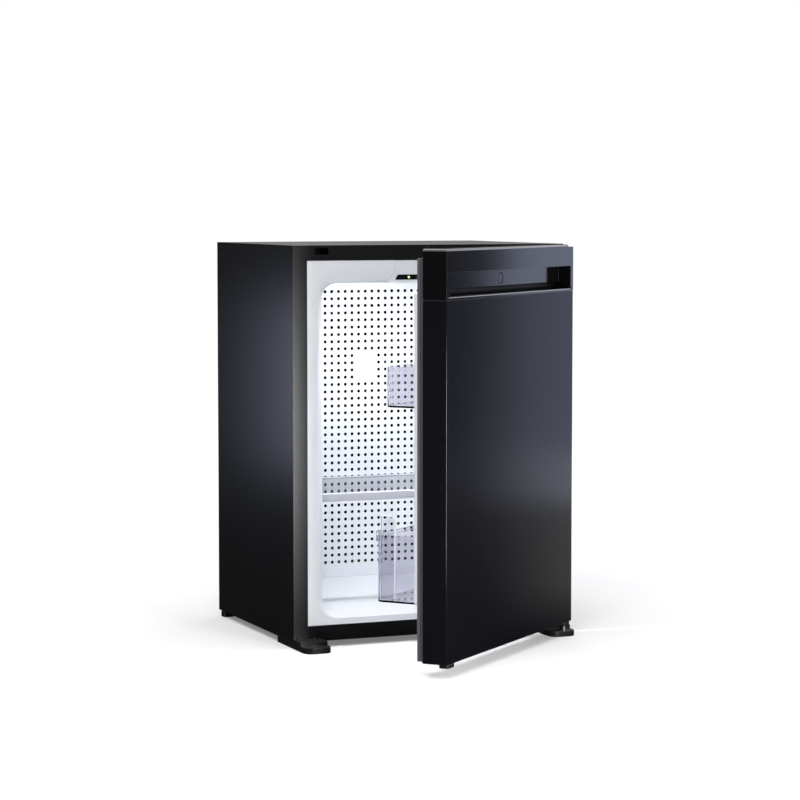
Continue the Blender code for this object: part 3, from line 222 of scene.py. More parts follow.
def soften(piece, width, finish, steps=2, angle=30):
    """Round every sharp edge a little and keep the flat faces flat; the piece takes the given finish,
    and where that finish has a lighter copy, the rounding takes it as a painted edge highlight.
    """
    activate(piece)
    piece.data.materials.clear()
    piece.data.materials.append(finish)
    bevel = piece.modifiers.new("edge_round", "BEVEL")
    bevel.width = width
    bevel.segments = steps
    bevel.limit_method = "ANGLE"
    bevel.angle_limit = math.radians(angle)
    bevel.harden_normals = False
    # Where the finish has a lighter copy, the new rounded faces take it: a painted edge highlight.
    if finish.name in EDGES:
        piece.data.materials.append(EDGES[finish.name])
        bevel.material = 1
    bpy.ops.object.modifier_apply(modifier=bevel.name)
    bpy.ops.object.shade_smooth_by_angle(angle=math.radians(35))
    flatten = piece.modifiers.new("flat_faces", "WEIGHTED_NORMAL")
    flatten.weight = 100
    flatten.keep_sharp = True
    bpy.ops.object.modifier_apply(modifier=flatten.name)


def paint_faces(piece, test, finish):
    """Give the faces that pass the test a finish of their own."""
    piece.data.materials.append(finish)
    choose(piece, "FACE", test)
    piece.active_material_index = len(piece.data.materials) - 1
    bpy.ops.object.material_slot_assign()
    rest()


def carve(piece, *tools, operation="DIFFERENCE"):
    """Cut the tools out of a piece, or add them to it, and clear them away."""
    for tool in tools:
        activate(piece)
        boolean = piece.modifiers.new(tool.name, "BOOLEAN")
        boolean.operation = operation
        boolean.object = tool
        bpy.ops.object.modifier_apply(modifier=boolean.name)
        bpy.data.objects.remove(tool, do_unlink=True)


def fuse(*pieces):
    """Join several meshes into the first."""
    activate(*pieces)
    bpy.ops.object.join()
    return pieces[0]


def copy_node(node, name):
    """A welded copy of a CAD node, to be worked on."""
    piece = bpy.data.objects.new(name, NODES[node].data.copy())
    piece.data.materials.clear()
    scene.collection.objects.link(piece)
    activate(piece)
    bpy.ops.object.mode_set(mode="EDIT")
    bpy.ops.mesh.select_all(action="SELECT")
    bpy.ops.mesh.remove_doubles(threshold=0.000002)
    bpy.ops.mesh.dissolve_limited(angle_limit=math.radians(0.5))
    rest()
    return piece


def finish_piece(piece, body, material, slot, *stands_for):
    """Give a piece its finish and its body, and hide the nodes that it stands for."""
    if not piece.data.materials:
        piece.data.materials.append(material)
    piece.visible_shadow = material not in (SMOKE, SHELF_GLASS)
    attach(piece, body)
    if stands_for:
        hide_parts(*stands_for)
    return piece


def settle(piece, hung=False):
    """Bring a piece from the part's measures to the shared frame."""
    place = Matrix.Translation((0, -MIDDLE_Y, 0))
    if hung:
        axis = Vector((HINGE_X, HINGE_Y, 0))
        place = (place @ Matrix.Translation(axis) @ Matrix.Rotation(REST_ANGLE, 4, "Z")
                 @ Matrix.Translation(-axis))
    piece.matrix_world = place
    keep_place(piece)
    return piece


# Node groups for effects that several finishes share
def new_group(name, inputs, outputs):
    """An empty node group with named inputs and outputs."""
    group = bpy.data.node_groups.new(name, "ShaderNodeTree")
    for label, value in inputs:
        socket = group.interface.new_socket(label, in_out="INPUT", socket_type="NodeSocketFloat")
        socket.default_value = value
    for label, kind in outputs:
        group.interface.new_socket(label, in_out="OUTPUT", socket_type=kind)
    return group, group.nodes.new("NodeGroupInput"), group.nodes.new("NodeGroupOutput")


def add(tree, kind, inputs=None, **settings):
    """A node with its settings and the values of its named or numbered inputs."""
    node = tree.nodes.new(kind)
    for key, value in settings.items():
        setattr(node, key, value)
    for key, value in (inputs or {}).items():
        if isinstance(value, bpy.types.NodeSocket):
            tree.links.new(value, node.inputs[key])
        else:
            node.inputs[key].default_value = value
    return node


def make_grain_group():
    """Moulded or painted grain: fine height, slow mottle and both as one value."""
    group, entry, leave = new_group(
        "moulded_grain", (("Grain Scale", 900.0), ("Mottle Scale", 14.0), ("Mottle Share", 0.3)),
        (("Height", "NodeSocketFloat"), ("Mottle", "NodeSocketFloat")))
    place = add(group, "ShaderNodeTexCoord")
    fine = add(group, "ShaderNodeTexNoise", {"Vector": place.outputs["Object"],
                                             "Scale": entry.outputs["Grain Scale"],
                                             "Detail": 2.0, "Roughness": 0.55})
    slow = add(group, "ShaderNodeTexNoise", {"Vector": place.outputs["Object"],
                                             "Scale": entry.outputs["Mottle Scale"],
                                             "Detail": 3.0, "Roughness": 0.6})
    share = add(group, "ShaderNodeMix", {0: entry.outputs["Mottle Share"],
                                         2: fine.outputs["Fac"], 3: slow.outputs["Fac"]})
    group.links.new(share.outputs[0], leave.inputs["Height"])
    group.links.new(slow.outputs["Fac"], leave.inputs["Mottle"])
    return group


def make_dust_group():
    """A thin, uneven veil on what faces up."""
    group, entry, leave = new_group("settled_dust", (("Amount", 0.1), ("Scale", 60.0)),
                                    (("Mask", "NodeSocketFloat"),))
    place = add(group, "ShaderNodeTexCoord")
    facing = add(group, "ShaderNodeSeparateXYZ", {0: place.outputs["Normal"]})
    up = add(group, "ShaderNodeMath", {0: facing.outputs["Z"], 1: 0.35}, operation="SUBTRACT",
             use_clamp=True)
    cloud = add(group, "ShaderNodeTexNoise", {"Vector": place.outputs["Object"],
                                              "Scale": entry.outputs["Scale"], "Detail": 4.0})
    veil = add(group, "ShaderNodeMath", {0: up.outputs[0], 1: cloud.outputs["Fac"]},
               operation="MULTIPLY")
    mask = add(group, "ShaderNodeMath", {0: veil.outputs[0], 1: entry.outputs["Amount"]},
               operation="MULTIPLY", use_clamp=True)
    group.links.new(mask.outputs[0], leave.inputs["Mask"])
    return group


GRAIN = make_grain_group()
DUST = make_dust_group()


def blank(name):
    """A material with only its Principled shader and its output."""
    material = bpy.data.materials.new(name)
    material.use_nodes = True
    return material, material.node_tree, material.node_tree.nodes["Principled BSDF"]


def mix_color(tree, mask, first, second):
    """A blend of two colours by a mask; either may be a socket."""
    node = tree.nodes.new("ShaderNodeMix")
    node.data_type = "RGBA"
    tree.links.new(mask, node.inputs[0])
    for index, value in ((6, first), (7, second)):
        if isinstance(value, bpy.types.NodeSocket):
            tree.links.new(value, node.inputs[index])
        else:
            node.inputs[index].default_value = (*value, 1.0)
    return node.outputs[2]


def grained(name, dark, light, rough_low, rough_high, grain_scale, grain_depth, specular=0.5,
            metallic=0.0, mottle_scale=14.0, mottle_share=0.3, dust=0.0, coat=0.0):
    """A finish with grain, mottle and a little dust."""
    material, tree, shader = blank(name)
    grain = add(tree, "ShaderNodeGroup", node_tree=GRAIN)
    grain.inputs["Grain Scale"].default_value = grain_scale
    grain.inputs["Mottle Scale"].default_value = mottle_scale
    grain.inputs["Mottle Share"].default_value = mottle_share
    color = mix_color(tree, grain.outputs["Mottle"], dark, light)
    if dust:
        veil = add(tree, "ShaderNodeGroup", node_tree=DUST)
        veil.inputs["Amount"].default_value = dust
        color = mix_color(tree, veil.outputs["Mask"], color, (0.45, 0.44, 0.42))
    tree.links.new(color, shader.inputs["Base Color"])
    rough = add(tree, "ShaderNodeMapRange", {"Value": grain.outputs["Mottle"], "From Min": 0.3,
                                             "From Max": 0.7, "To Min": rough_low,
                                             "To Max": rough_high})
    tree.links.new(rough.outputs[0], shader.inputs["Roughness"])
    bump = add(tree, "ShaderNodeBump", {"Height": grain.outputs["Height"], "Distance": grain_depth,
                                        "Strength": 0.6})
    tree.links.new(bump.outputs["Normal"], shader.inputs["Normal"])
    shader.inputs["Metallic"].default_value = metallic
    shader.inputs["Specular IOR Level"].default_value = specular
    shader.inputs["Coat Weight"].default_value = coat
    shader.inputs["Coat Roughness"].default_value = 0.12
    return material


def brushed(name, dark, light, rough_low, rough_high, stretch, depth):
    """Bright metal with fine lines along one direction."""
    material, tree, shader = blank(name)
    place = add(tree, "ShaderNodeTexCoord")
    lay = add(tree, "ShaderNodeMapping", {"Vector": place.outputs["Object"], "Scale": stretch})
    lines = add(tree, "ShaderNodeTexNoise", {"Vector": lay.outputs[0], "Scale": 1.0, "Detail": 4.0,
                                             "Roughness": 0.65})
    tree.links.new(mix_color(tree, lines.outputs["Fac"], dark, light), shader.inputs["Base Color"])
    rough = add(tree, "ShaderNodeMapRange", {"Value": lines.outputs["Fac"], "To Min": rough_low,
                                             "To Max": rough_high})
    tree.links.new(rough.outputs[0], shader.inputs["Roughness"])
    bump = add(tree, "ShaderNodeBump", {"Height": lines.outputs["Fac"], "Distance": depth,
                                        "Strength": 0.5})
    tree.links.new(bump.outputs["Normal"], shader.inputs["Normal"])
    shader.inputs["Metallic"].default_value = 1.0
    return material


def spangled(name):
    """Galvanised sheet with its crystal pattern."""
    material, tree, shader = blank(name)
    place = add(tree, "ShaderNodeTexCoord")
    cells = add(tree, "ShaderNodeTexVoronoi", {"Vector": place.outputs["Object"], "Scale": 190.0})
    shade = add(tree, "ShaderNodeSeparateXYZ", {0: cells.outputs["Color"]})
    tree.links.new(mix_color(tree, shade.outputs["X"], (0.34, 0.35, 0.36), (0.52, 0.53, 0.54)),
                   shader.inputs["Base Color"])
    rough = add(tree, "ShaderNodeMapRange", {"Value": shade.outputs["Y"], "To Min": 0.32,
                                             "To Max": 0.52})
    tree.links.new(rough.outputs[0], shader.inputs["Roughness"])
    shader.inputs["Metallic"].default_value = 1.0
    return material


def clear(name, tint_low, tint_high, rough, scale):
    """See-through plastic or glass with faint wipe marks."""
    material, tree, shader = blank(name)
    grain = add(tree, "ShaderNodeGroup", node_tree=GRAIN)
    grain.inputs["Grain Scale"].default_value = scale
    grain.inputs["Mottle Share"].default_value = 0.9
    tree.links.new(mix_color(tree, grain.outputs["Mottle"], tint_low, tint_high),
                   shader.inputs["Base Color"])
    marks = add(tree, "ShaderNodeMapRange", {"Value": grain.outputs["Mottle"], "From Min": 0.35,
                                             "From Max": 0.75, "To Min": rough,
                                             "To Max": rough + 0.02})
    tree.links.new(marks.outputs[0], shader.inputs["Roughness"])
    shader.inputs["Transmission Weight"].default_value = 1.0
    shader.inputs["IOR"].default_value = 1.20
    return material


def lit(name, color, glow, strength):
    """A small lamp behind a frosted lens."""
    material, tree, shader = blank(name)
    grain = add(tree, "ShaderNodeGroup", node_tree=GRAIN)
    grain.inputs["Grain Scale"].default_value = 600.0
    tree.links.new(mix_color(tree, grain.outputs["Mottle"], color, [c * 0.92 for c in color]),
                   shader.inputs["Base Color"])
    tree.links.new(mix_color(tree, grain.outputs["Mottle"], glow, [c * 0.9 for c in glow]),
                   shader.inputs["Emission Color"])
    shader.inputs["Emission Strength"].default_value = strength
    shader.inputs["Roughness"].default_value = 0.3
    return material


CASE_PAINT = grained("case_paint", (0.0032, 0.0032, 0.0040), (0.0044, 0.0044, 0.0054), 0.29, 0.30,
                     2200.0, 0.000002, specular=0.48, mottle_share=0.0, dust=0.006)
# The lighter copies that follow some finishes below are painted on rounded edges as highlights.
CASE_EDGE_HIGHLIGHT = grained("case_paint_edge_highlight", (0.016, 0.016, 0.020), (0.026, 0.026, 0.032), 0.30, 0.40,
                    1500.0, 0.00003, specular=0.50)
DOOR_FILM = grained("door_film", (0.0030, 0.0031, 0.0041), (0.0038, 0.0039, 0.0052), 0.14, 0.16,
                    2200.0, 0.00002, specular=0.20, mottle_share=0.0, mottle_scale=6.0)
DOOR_FILM_EDGE_HIGHLIGHT = grained("door_film_edge_highlight", (0.018, 0.018, 0.024), (0.026, 0.026, 0.034), 0.26, 0.34,
                         2200.0, 0.00003, specular=0.45)
DOOR_PLASTIC = grained("door_plastic", (0.0028, 0.0028, 0.0036), (0.0038, 0.0038, 0.0048), 0.11,
                       0.12, 1800.0, 0.000002, specular=1.0, mottle_share=0.0)
# A darker, matt copy of the door plastic, painted as shade into the grip's bore, scoop and ends.
DOOR_MATT_SHADE = grained("door_plastic_matt_shade", (0.0012, 0.0012, 0.0015), (0.0018, 0.0018, 0.0022), 0.42,
                    0.50, 1200.0, 0.00008, specular=0.06, mottle_share=0.0)
DOOR_PLASTIC_EDGE_HIGHLIGHT = grained("door_plastic_edge_highlight", (0.020, 0.020, 0.025), (0.030, 0.030, 0.038), 0.28,
                            0.36, 1800.0, 0.00004, specular=0.70)
FOOT_PLASTIC = grained("foot_plastic", (0.0060, 0.0060, 0.0070), (0.0090, 0.0090, 0.0100), 0.30,
                       0.42, 1300.0, 0.00010, specular=0.30, dust=0.03)
FOOT_EDGE_HIGHLIGHT = grained("foot_plastic_edge_highlight", (0.020, 0.020, 0.022), (0.035, 0.035, 0.038), 0.28, 0.40,
                    1300.0, 0.00008, specular=0.6)
SEAL_RUBBER = grained("seal_rubber", (0.046, 0.047, 0.053), (0.060, 0.061, 0.068), 0.45, 0.55,
                      1600.0, 0.00010, specular=0.30, mottle_share=0.4)
SEAL_EDGE_HIGHLIGHT = grained("seal_rubber_edge_highlight", (0.10, 0.10, 0.11), (0.14, 0.14, 0.15), 0.40, 0.50, 1600.0,
                    0.00010, specular=0.5)
LINER_PLASTIC = grained("liner_plastic", (0.73, 0.75, 0.78), (0.78, 0.80, 0.83), 0.32, 0.40, 420.0,
                        0.00008, specular=0.35, mottle_share=0.5)
TRIM_PLASTIC = grained("trim_plastic", (0.50, 0.51, 0.57), (0.58, 0.59, 0.65), 0.28, 0.36, 700.0,
                       0.00008, specular=0.5)
FOAM = grained("foam", (0.62, 0.52, 0.30), (0.80, 0.71, 0.48), 0.8, 0.95, 300.0, 0.0008,
               specular=0.2, mottle_share=0.5, mottle_scale=60.0)
UNIT_PAINT = grained("unit_paint", (0.010, 0.010, 0.011), (0.018, 0.018, 0.019), 0.42, 0.58, 900.0,
                     0.00012, specular=0.3, dust=0.12)
UNIT_EDGE_HIGHLIGHT = grained("unit_paint_edge_highlight", (0.035, 0.034, 0.033), (0.060, 0.058, 0.055), 0.42, 0.58,
                    900.0, 0.00012, specular=0.4)
# A near-black finish for the sheet behind the cover's holes: painted shade.
HOLLOW_SHADE = grained("hollow_painted_shade", (0.0030, 0.0030, 0.0034), (0.0045, 0.0045, 0.0050), 0.7, 0.8, 500.0,
                 0.00005, specular=0.1)
SMOKE = clear("smoke_plastic", (0.80, 0.79, 0.84), (0.84, 0.83, 0.88), 0.0, 500.0)
SHELF_GLASS = clear("shelf_glass_tint", (0.42, 0.44, 0.49), (0.46, 0.48, 0.53), 0.0, 500.0)
# A pale opaque finish for the retainer's edge strip: a painted highlight of the clear edge.
RETAINER_EDGE_HIGHLIGHT = grained("retainer_edge_painted_highlight", (0.84, 0.84, 0.87), (0.90, 0.90, 0.93), 0.40, 0.50, 900.0, 0.00004,
                  specular=0.5)
WINDOW = grained("window_gloss", (0.006, 0.006, 0.007), (0.009, 0.009, 0.010), 0.08, 0.14, 800.0,
                 0.00002, specular=0.3, coat=0.2)
SCREW_METAL = brushed("screw_metal", (0.10, 0.10, 0.105), (0.16, 0.16, 0.165), 0.28, 0.40,
                      (700.0, 700.0, 700.0), 0.00003)
STEEL = brushed("pin_steel", (0.44, 0.45, 0.47), (0.66, 0.67, 0.69), 0.24, 0.42,
                (900.0, 900.0, 60.0), 0.00003)
FIN_METAL = brushed("fin_aluminium", (0.58, 0.59, 0.61), (0.76, 0.77, 0.79), 0.30, 0.48,
                    (60.0, 900.0, 900.0), 0.00003)
GALVANISED = spangled("galvanised")
LED_LIT = lit("led_lit", (0.30, 0.60, 0.15), (0.35, 1.0, 0.20), 2.5)
LAMP_LIT = lit("lamp_lit", (0.90, 0.90, 0.88), (1.0, 0.98, 0.95), 1.2)

# Lighter copies of the dark finishes, painted on rounded edges as highlights.
EDGES = {"case_paint": CASE_EDGE_HIGHLIGHT, "door_film": DOOR_FILM_EDGE_HIGHLIGHT, "door_plastic": DOOR_PLASTIC_EDGE_HIGHLIGHT,
         "foot_plastic": FOOT_EDGE_HIGHLIGHT, "seal_rubber": SEAL_EDGE_HIGHLIGHT, "unit_paint": UNIT_EDGE_HIGHLIGHT}
FINISHES = {
    "case_black": CASE_PAINT, "door_black": DOOR_FILM, "trim_black": DOOR_PLASTIC,
    "foot_black": FOOT_PLASTIC, "seal_grey": SEAL_RUBBER, "liner_white": LINER_PLASTIC,
    "foam_cream": FOAM, "trim_grey": TRIM_PLASTIC, "smoke_clear": SMOKE,
    "shelf_glass": SHELF_GLASS, "window_black": WINDOW, "led_green": LED_LIT,
    "lamp_white": LAMP_LIT, "steel": STEEL, "aluminium": FIN_METAL, "unit_black": UNIT_PAINT,
    "canister_grey": GALVANISED, "screw_black": SCREW_METAL,
}

SLOTS = {row["node"]: row["material_slot"] for row in frame["record"]["subparts"]}
BODIES = {node: body for body, nodes in frame["record"]["behaviour"]["bodies"].items()
          for node in nodes}
for node_name, node_object in NODES.items():
    node_object.data.materials.clear()
    node_object.data.materials.append(FINISHES[SLOTS[node_name]])


def dress(node, width, steps=2, angle=30, name=None):
    """A CAD node with all its edges rounded."""
    piece = copy_node(node, name or node + "_shell")
    soften(piece, width, FINISHES[SLOTS[node]], steps, angle)
    return finish_piece(piece, BODIES[node], FINISHES[SLOTS[node]], SLOTS[node], node)


# Cabinet
def make_case():
    """The folded wrap with its mitred front corners."""
    case = copy_node("outer_case", "case_wrap")
    for side in (-1, 1):
        corner = Vector((side * WIDTH / 2, 0, TOP))
        inner = corner + Vector((-side * 0.0212, 0, -0.0213))
        middle = (corner + inner) / 2
        mitre = box(f"mitre_{side}", (-0.00018, -0.001, -0.016), (0.00018, 0.00035, 0.016))
        activate(mitre)
        bpy.ops.transform.rotate(value=-side * math.radians(45), orient_axis="Y",
                                 center_override=(0, 0, 0))
        bpy.ops.transform.translate(value=middle)
        keep_place(mitre)
        carve(case, settle(mitre))
    soften(case, 0.0005, CASE_PAINT, 3)
    finish_piece(case, "cabinet", CASE_PAINT, "case_black", "outer_case")


def make_control_module():
    """The control housing with the seam line of its cover."""
    housing = copy_node("control_housing", "control_cover")
    low, high = (Vector(corner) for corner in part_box("control_housing"))
    seam = box("cover_seam", (low.x - 0.01, low.y - 0.001, SEAM_LOW),
               (high.x + 0.01, low.y + 0.0004, SEAM_HIGH))
    carve(housing, seam)
    soften(housing, 0.0006, LINER_PLASTIC, 3)
    finish_piece(housing, "cabinet", LINER_PLASTIC, "liner_white", "control_housing")


def make_cabinet():
    """The other shells of the cabinet, with rounded edges."""
    dress("base_pan", 0.0004)
    dress("inner_liner", 0.0009, 3, 25)
    dress("shelf_front_trim", 0.0008, 3)
    dress("shelf_rear_trim", 0.0008)
    dress("shelf_glass", 0.0006)
    dress("front_foot_left", 0.0010, 3)
    dress("front_foot_right", 0.0010, 3)
    dress("rear_foot_left", 0.0008)
    dress("rear_foot_right", 0.0008)
    dress("upper_hinge_arm", 0.0003)


def make_cover():
    """The perforated rear cover, a dark sheet behind it that paints shade into the holes, and the bare
    plate.
    """
    sheet_back = COVER_FRONT + COVER_SHEET
    grid_low = (-HOLE_COLUMNS * HOLE_PITCH_X / 2, COVER_FRONT, HOLES_TOP - HOLE_ROWS * HOLE_PITCH_Z)
    rest()
    centre = (grid_low[0] + HOLE_PITCH_X / 2, COVER_FRONT, grid_low[2] + HOLE_PITCH_Z / 2)
    bpy.ops.mesh.primitive_circle_add(vertices=12, radius=HOLE_RADIUS, location=centre,
                                      rotation=(math.radians(90), 0, 0))
    hole = bpy.context.active_object
    hole.name = "cover_sheet"
    keep_place(hole)
    bpy.ops.mesh.primitive_circle_add(vertices=4, radius=1 / math.sqrt(2), location=centre,
                                      rotation=(math.radians(90), math.radians(45), 0))
    edge_square = bpy.context.active_object
    keep_place(edge_square)
    stretch = Matrix.Diagonal((HOLE_PITCH_X, 1, HOLE_PITCH_Z, 1))
    edge_square.data.transform(Matrix.Translation(centre) @ stretch
                               @ Matrix.Translation([-c for c in centre]))
    sheet = fuse(hole, edge_square)
    bpy.ops.object.mode_set(mode="EDIT")
    bpy.ops.mesh.select_all(action="SELECT")
    bpy.ops.mesh.bridge_edge_loops()
    rest()
    for count, step in ((HOLE_COLUMNS, (HOLE_PITCH_X, 0, 0)), (HOLE_ROWS, (0, 0, HOLE_PITCH_Z))):
        activate(sheet)
        repeat = sheet.modifiers.new("repeat", "ARRAY")
        repeat.count = count
        repeat.use_relative_offset = False
        repeat.use_constant_offset = True
        repeat.constant_offset_displace = step
        repeat.use_merge_vertices = True
        repeat.merge_threshold = 0.00005
        bpy.ops.object.modifier_apply(modifier=repeat.name)
    choose(sheet, "FACE", lambda face: True)
    bpy.ops.mesh.normals_make_consistent(inside=False)
    bpy.ops.mesh.extrude_region_move(TRANSFORM_OT_translate={
        "value": (0, sheet_back - COVER_FRONT, 0)})
    bpy.ops.mesh.select_all(action="SELECT")
    bpy.ops.mesh.normals_make_consistent(inside=False)
    rest()
    rim = box("cover_rim", (-COVER_SIDE, COVER_FRONT, COVER_BOTTOM),
              (COVER_SIDE, sheet_back, COVER_TOP))
    round_edges(rim, edges_along(1), COVER_RADIUS, 8)
    carve(rim, box("grid_space", (grid_low[0], COVER_FRONT - 0.01, grid_low[2]),
                   (-grid_low[0], COVER_BACK + 0.01, grid_low[2] + HOLE_ROWS * HOLE_PITCH_Z)))
    plate_half = PLATE_HALF_COLUMNS * HOLE_PITCH_X
    plate_low = HOLES_TOP - PLATE_LOW_ROW * HOLE_PITCH_Z
    plate = box("bare_plate", (-plate_half, COVER_FRONT - 0.0001, plate_low),
                (plate_half, COVER_FRONT + 0.0005, plate_low + PLATE_ROWS * HOLE_PITCH_Z))
    sheet = fuse(sheet, rim, plate)
    # A dark sheet just behind the holes, painted shade for the gap behind the cover.
    shade_sheet = box("cover_shade_sheet", (-COVER_SIDE, sheet_back + JOINT_GAP, COVER_BOTTOM),
                  (COVER_SIDE, COVER_BACK, COVER_TOP))
    round_edges(shade_sheet, edges_along(1), COVER_RADIUS, 8)
    finish_piece(settle(sheet), "cabinet", LINER_PLASTIC, "liner_white", "back_cover")
    finish_piece(settle(shade_sheet), "cabinet", HOLLOW_SHADE, "unit_black")


def make_screws():
    """The small cross-headed screws of the front feet, one shape copied to each place."""
    head = bar("foot_screw", (0, 0, -0.0016), (0, 0, 0), 0.0024, 24)
    for size in ((0.0014, 0.00035), (0.00035, 0.0014)):
        carve(head, box("slot_cut", (-size[0], -size[1], -0.0007), (size[0], size[1], 0.001)))
    soften(head, 0.00035, SCREW_METAL, 3)
    nodes = [node for node in NODES if "_screw_" in node]
    for node in nodes:
        low, high = (Vector(corner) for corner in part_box(node))
        screw = bpy.data.objects.new(node + "_head", head.data.copy())
        scene.collection.objects.link(screw)
        screw.location = ((low.x + high.x) / 2, (low.y + high.y) / 2, high.z)
        keep_place(screw)
        finish_piece(screw, "cabinet", SCREW_METAL, "screw_black", node)
    bpy.data.objects.remove(head, do_unlink=True)


# Door
def make_panel():
    """The folded skin of the door, open towards the liner."""
    panel = box("door_panel", (LEFT, DOOR_FACE, DOOR_BOTTOM),
                (RIGHT, DOOR_INNER, HANDLE_SEAM - JOINT_GAP))
    choose(panel, "FACE", faces_towards(1, 1))
    bpy.ops.mesh.inset(thickness=SKIN)
    bpy.ops.mesh.extrude_region_move(TRANSFORM_OT_translate={
        "value": (0, DOOR_FACE + SKIN - DOOR_INNER, 0)})
    rest()
    round_edges(panel, edges_along(2, lambda middle: middle.y < DOOR_FACE + NEAR), 0.0015, 5)
    soften(panel, 0.0004, DOOR_FILM, 2, 40)
    finish_piece(settle(panel, True), "door", DOOR_FILM, "door_black", "door_shell")


def make_handle():
    """The top moulding with the full-width grip recess."""
    handle = box("handle_grip", (LEFT, DOOR_FACE, HANDLE_SEAM), (RIGHT, DOOR_INNER, DOOR_TOP))

    def outer_top(edge):
        high = all(v.co.z > DOOR_TOP - NEAR for v in edge.verts)
        return high and not all(v.co.y > DOOR_INNER - NEAR for v in edge.verts)

    round_edges(handle, outer_top, 0.0036, 8)
    space = box("grip_space", (LEFT + RECESS_END, DOOR_FACE - 0.01, LIP),
                (RIGHT - RECESS_END, RECESS_BACK, FOLD))
    round_edges(space, edges_along(0, lambda middle: middle.y > DOOR_FACE and middle.z < FOLD - 0.01),
                0.009, 8)
    bore = bar("button_bore", (0, RECESS_BACK - 0.004, BUTTON_HEIGHT),
               (0, RECESS_BACK + 0.008, BUTTON_HEIGHT), BUTTON_BORE, 48)
    notch = box("hinge_notch", (HINGE_X - 0.0055, DOOR_FACE - 0.01, NOTCH_FLOOR),
                (RIGHT + 0.01, DOOR_INNER + 0.01, DOOR_TOP + 0.01))
    pin_bore = bar("pin_bore", (HINGE_X, HINGE_Y, NOTCH_FLOOR - PIN_BORE_DEPTH),
                   (HINGE_X, HINGE_Y, NOTCH_FLOOR + 0.001), PIN_BORE, 32)
    carve(handle, space, bore, notch, pin_bore)
    round_edges(handle, edges_along(0, lambda middle: middle.y < DOOR_FACE + NEAR
                                    and abs(middle.z - LIP) < NEAR), 0.0028, 6)
    soften(handle, 0.0007, DOOR_PLASTIC, 3, 40)
    axis = Vector((0, 0, BUTTON_HEIGHT))

    def painted_shade_faces(face):
        """The button's bore, the scoop of the recess and all ends: painted shade, darker and matt."""
        middle = face.calc_center_median()
        inside = DOOR_FACE + 0.0030 < middle.y < DOOR_INNER - 0.001
        near = (Vector((middle.x, 0, middle.z)) - axis).length < 0.0090
        bored = inside and near and face.calc_area() < 0.0003
        scooped = inside and LIP - 0.0002 < middle.z < LIP + 0.0091 and face.normal.z > 0.02
        ended = abs(face.normal.x) > 0.98 and face.calc_area() > 0.00003
        return bored or scooped or ended

    # The recess's scoop, the bore and the ends get the darker, matt copy: painted shade.
    paint_faces(handle, painted_shade_faces, DOOR_MATT_SHADE)
    finish_piece(settle(handle, True), "door", DOOR_PLASTIC, "trim_black", "handle_moulding")


def make_button():
    """The flush round button on the back of the recess."""
    face = RECESS_BACK - 0.0001
    button = bar("recess_button", (0, face, BUTTON_HEIGHT),
                 (0, face + BUTTON_LENGTH, BUTTON_HEIGHT), BUTTON_RADIUS, 48)
    choose(button, "FACE", faces_towards(1, -1))
    bpy.ops.mesh.inset(thickness=0.0011)
    bpy.ops.transform.translate(value=(0, 0.00012, 0))
    rest()
    soften(button, 0.0002, DOOR_PLASTIC, 1, 40)
    # The button's sides, down in the bore, get the darker, matt copy: painted shade.
    paint_faces(button, lambda piece_face: piece_face.normal.y > -0.9, DOOR_MATT_SHADE)
    finish_piece(settle(button, True), "lock_button", DOOR_PLASTIC, "trim_black", "lock_button")


def make_gasket():
    """The magnetic gasket: clamped foot, bellows groove and sealing face."""
    liner_face = DOOR_INNER + 0.0005 + JOINT_GAP
    low = Vector((LEFT + 0.003, liner_face, BASE + 0.0125))
    high = Vector((RIGHT - 0.0116, -0.0004, TOP - 0.0125))
    step = Vector((0.002, 0, 0.002))
    foot = ring("gasket_profile", low, (high.x, low.y + 0.0030, high.z), 0.013)
    neck = ring("gasket_neck", low + 1.4 * step + Vector((0, 0.0020, 0)),
                Vector((high.x, high.y - 0.0030, high.z)) - 1.4 * step, 0.0086)
    face = ring("gasket_face", (low.x + 0.0004, high.y - 0.0042, low.z + 0.0004),
                (high.x - 0.0004, high.y, high.z - 0.0004), 0.0120)
    choose(face, "FACE", faces_towards(1, 1))
    bpy.ops.mesh.inset(thickness=0.0034)
    bpy.ops.mesh.extrude_region_move(TRANSFORM_OT_translate={"value": (0, -0.0009, 0)})
    rest()
    carve(foot, neck, face, operation="UNION")
    soften(foot, 0.0006, SEAL_RUBBER, 3)
    finish_piece(settle(foot, True), "door", SEAL_RUBBER, "seal_grey", "door_gasket")


def make_bin(node, bottom, height, reach):
    """A clear bin with thin walls and a line below its rim."""
    half = WIDTH / 2 - BIN_MARGIN
    tray = box(node + "_tray", (-half, DOOR_INNER + 0.0008, bottom), (half, reach, bottom + height))
    round_edges(tray, edges_along(2, lambda middle: middle.y > 0), BIN_CORNER, 8)
    choose(tray, "FACE", faces_towards(2, 1))
    bpy.ops.mesh.inset(thickness=BIN_WALL)
    bpy.ops.mesh.extrude_region_move(TRANSFORM_OT_translate={"value": (0, 0, BIN_FLOOR - height)})
    rest()
    for level in [bottom + height - drop for drop in BIN_LINE_EDGES]:
        choose(tray, "FACE", lambda face: True)
        bpy.ops.mesh.bisect(plane_co=(0, 0, level), plane_no=(0, 0, 1))
        rest()
    line = bottom + height - BIN_LINE_MIDDLE
    choose(tray, "FACE", lambda face: abs(face.calc_center_median().z - line) < 0.0003
           and (face.calc_center_median().y > reach - 0.0125 or abs(face.normal.x) > 0.9)
           and face.normal.dot(face.calc_center_median() - Vector((0, reach / 2, line))) > 0)
    bpy.ops.mesh.extrude_region_shrink_fatten(TRANSFORM_OT_shrink_fatten={
        "value": BIN_LINE_HEIGHT})
    rest()
    soften(tray, 0.0004, SMOKE, 2, 40)
    finish_piece(settle(tray, True), "door", SMOKE, "smoke_clear", node)


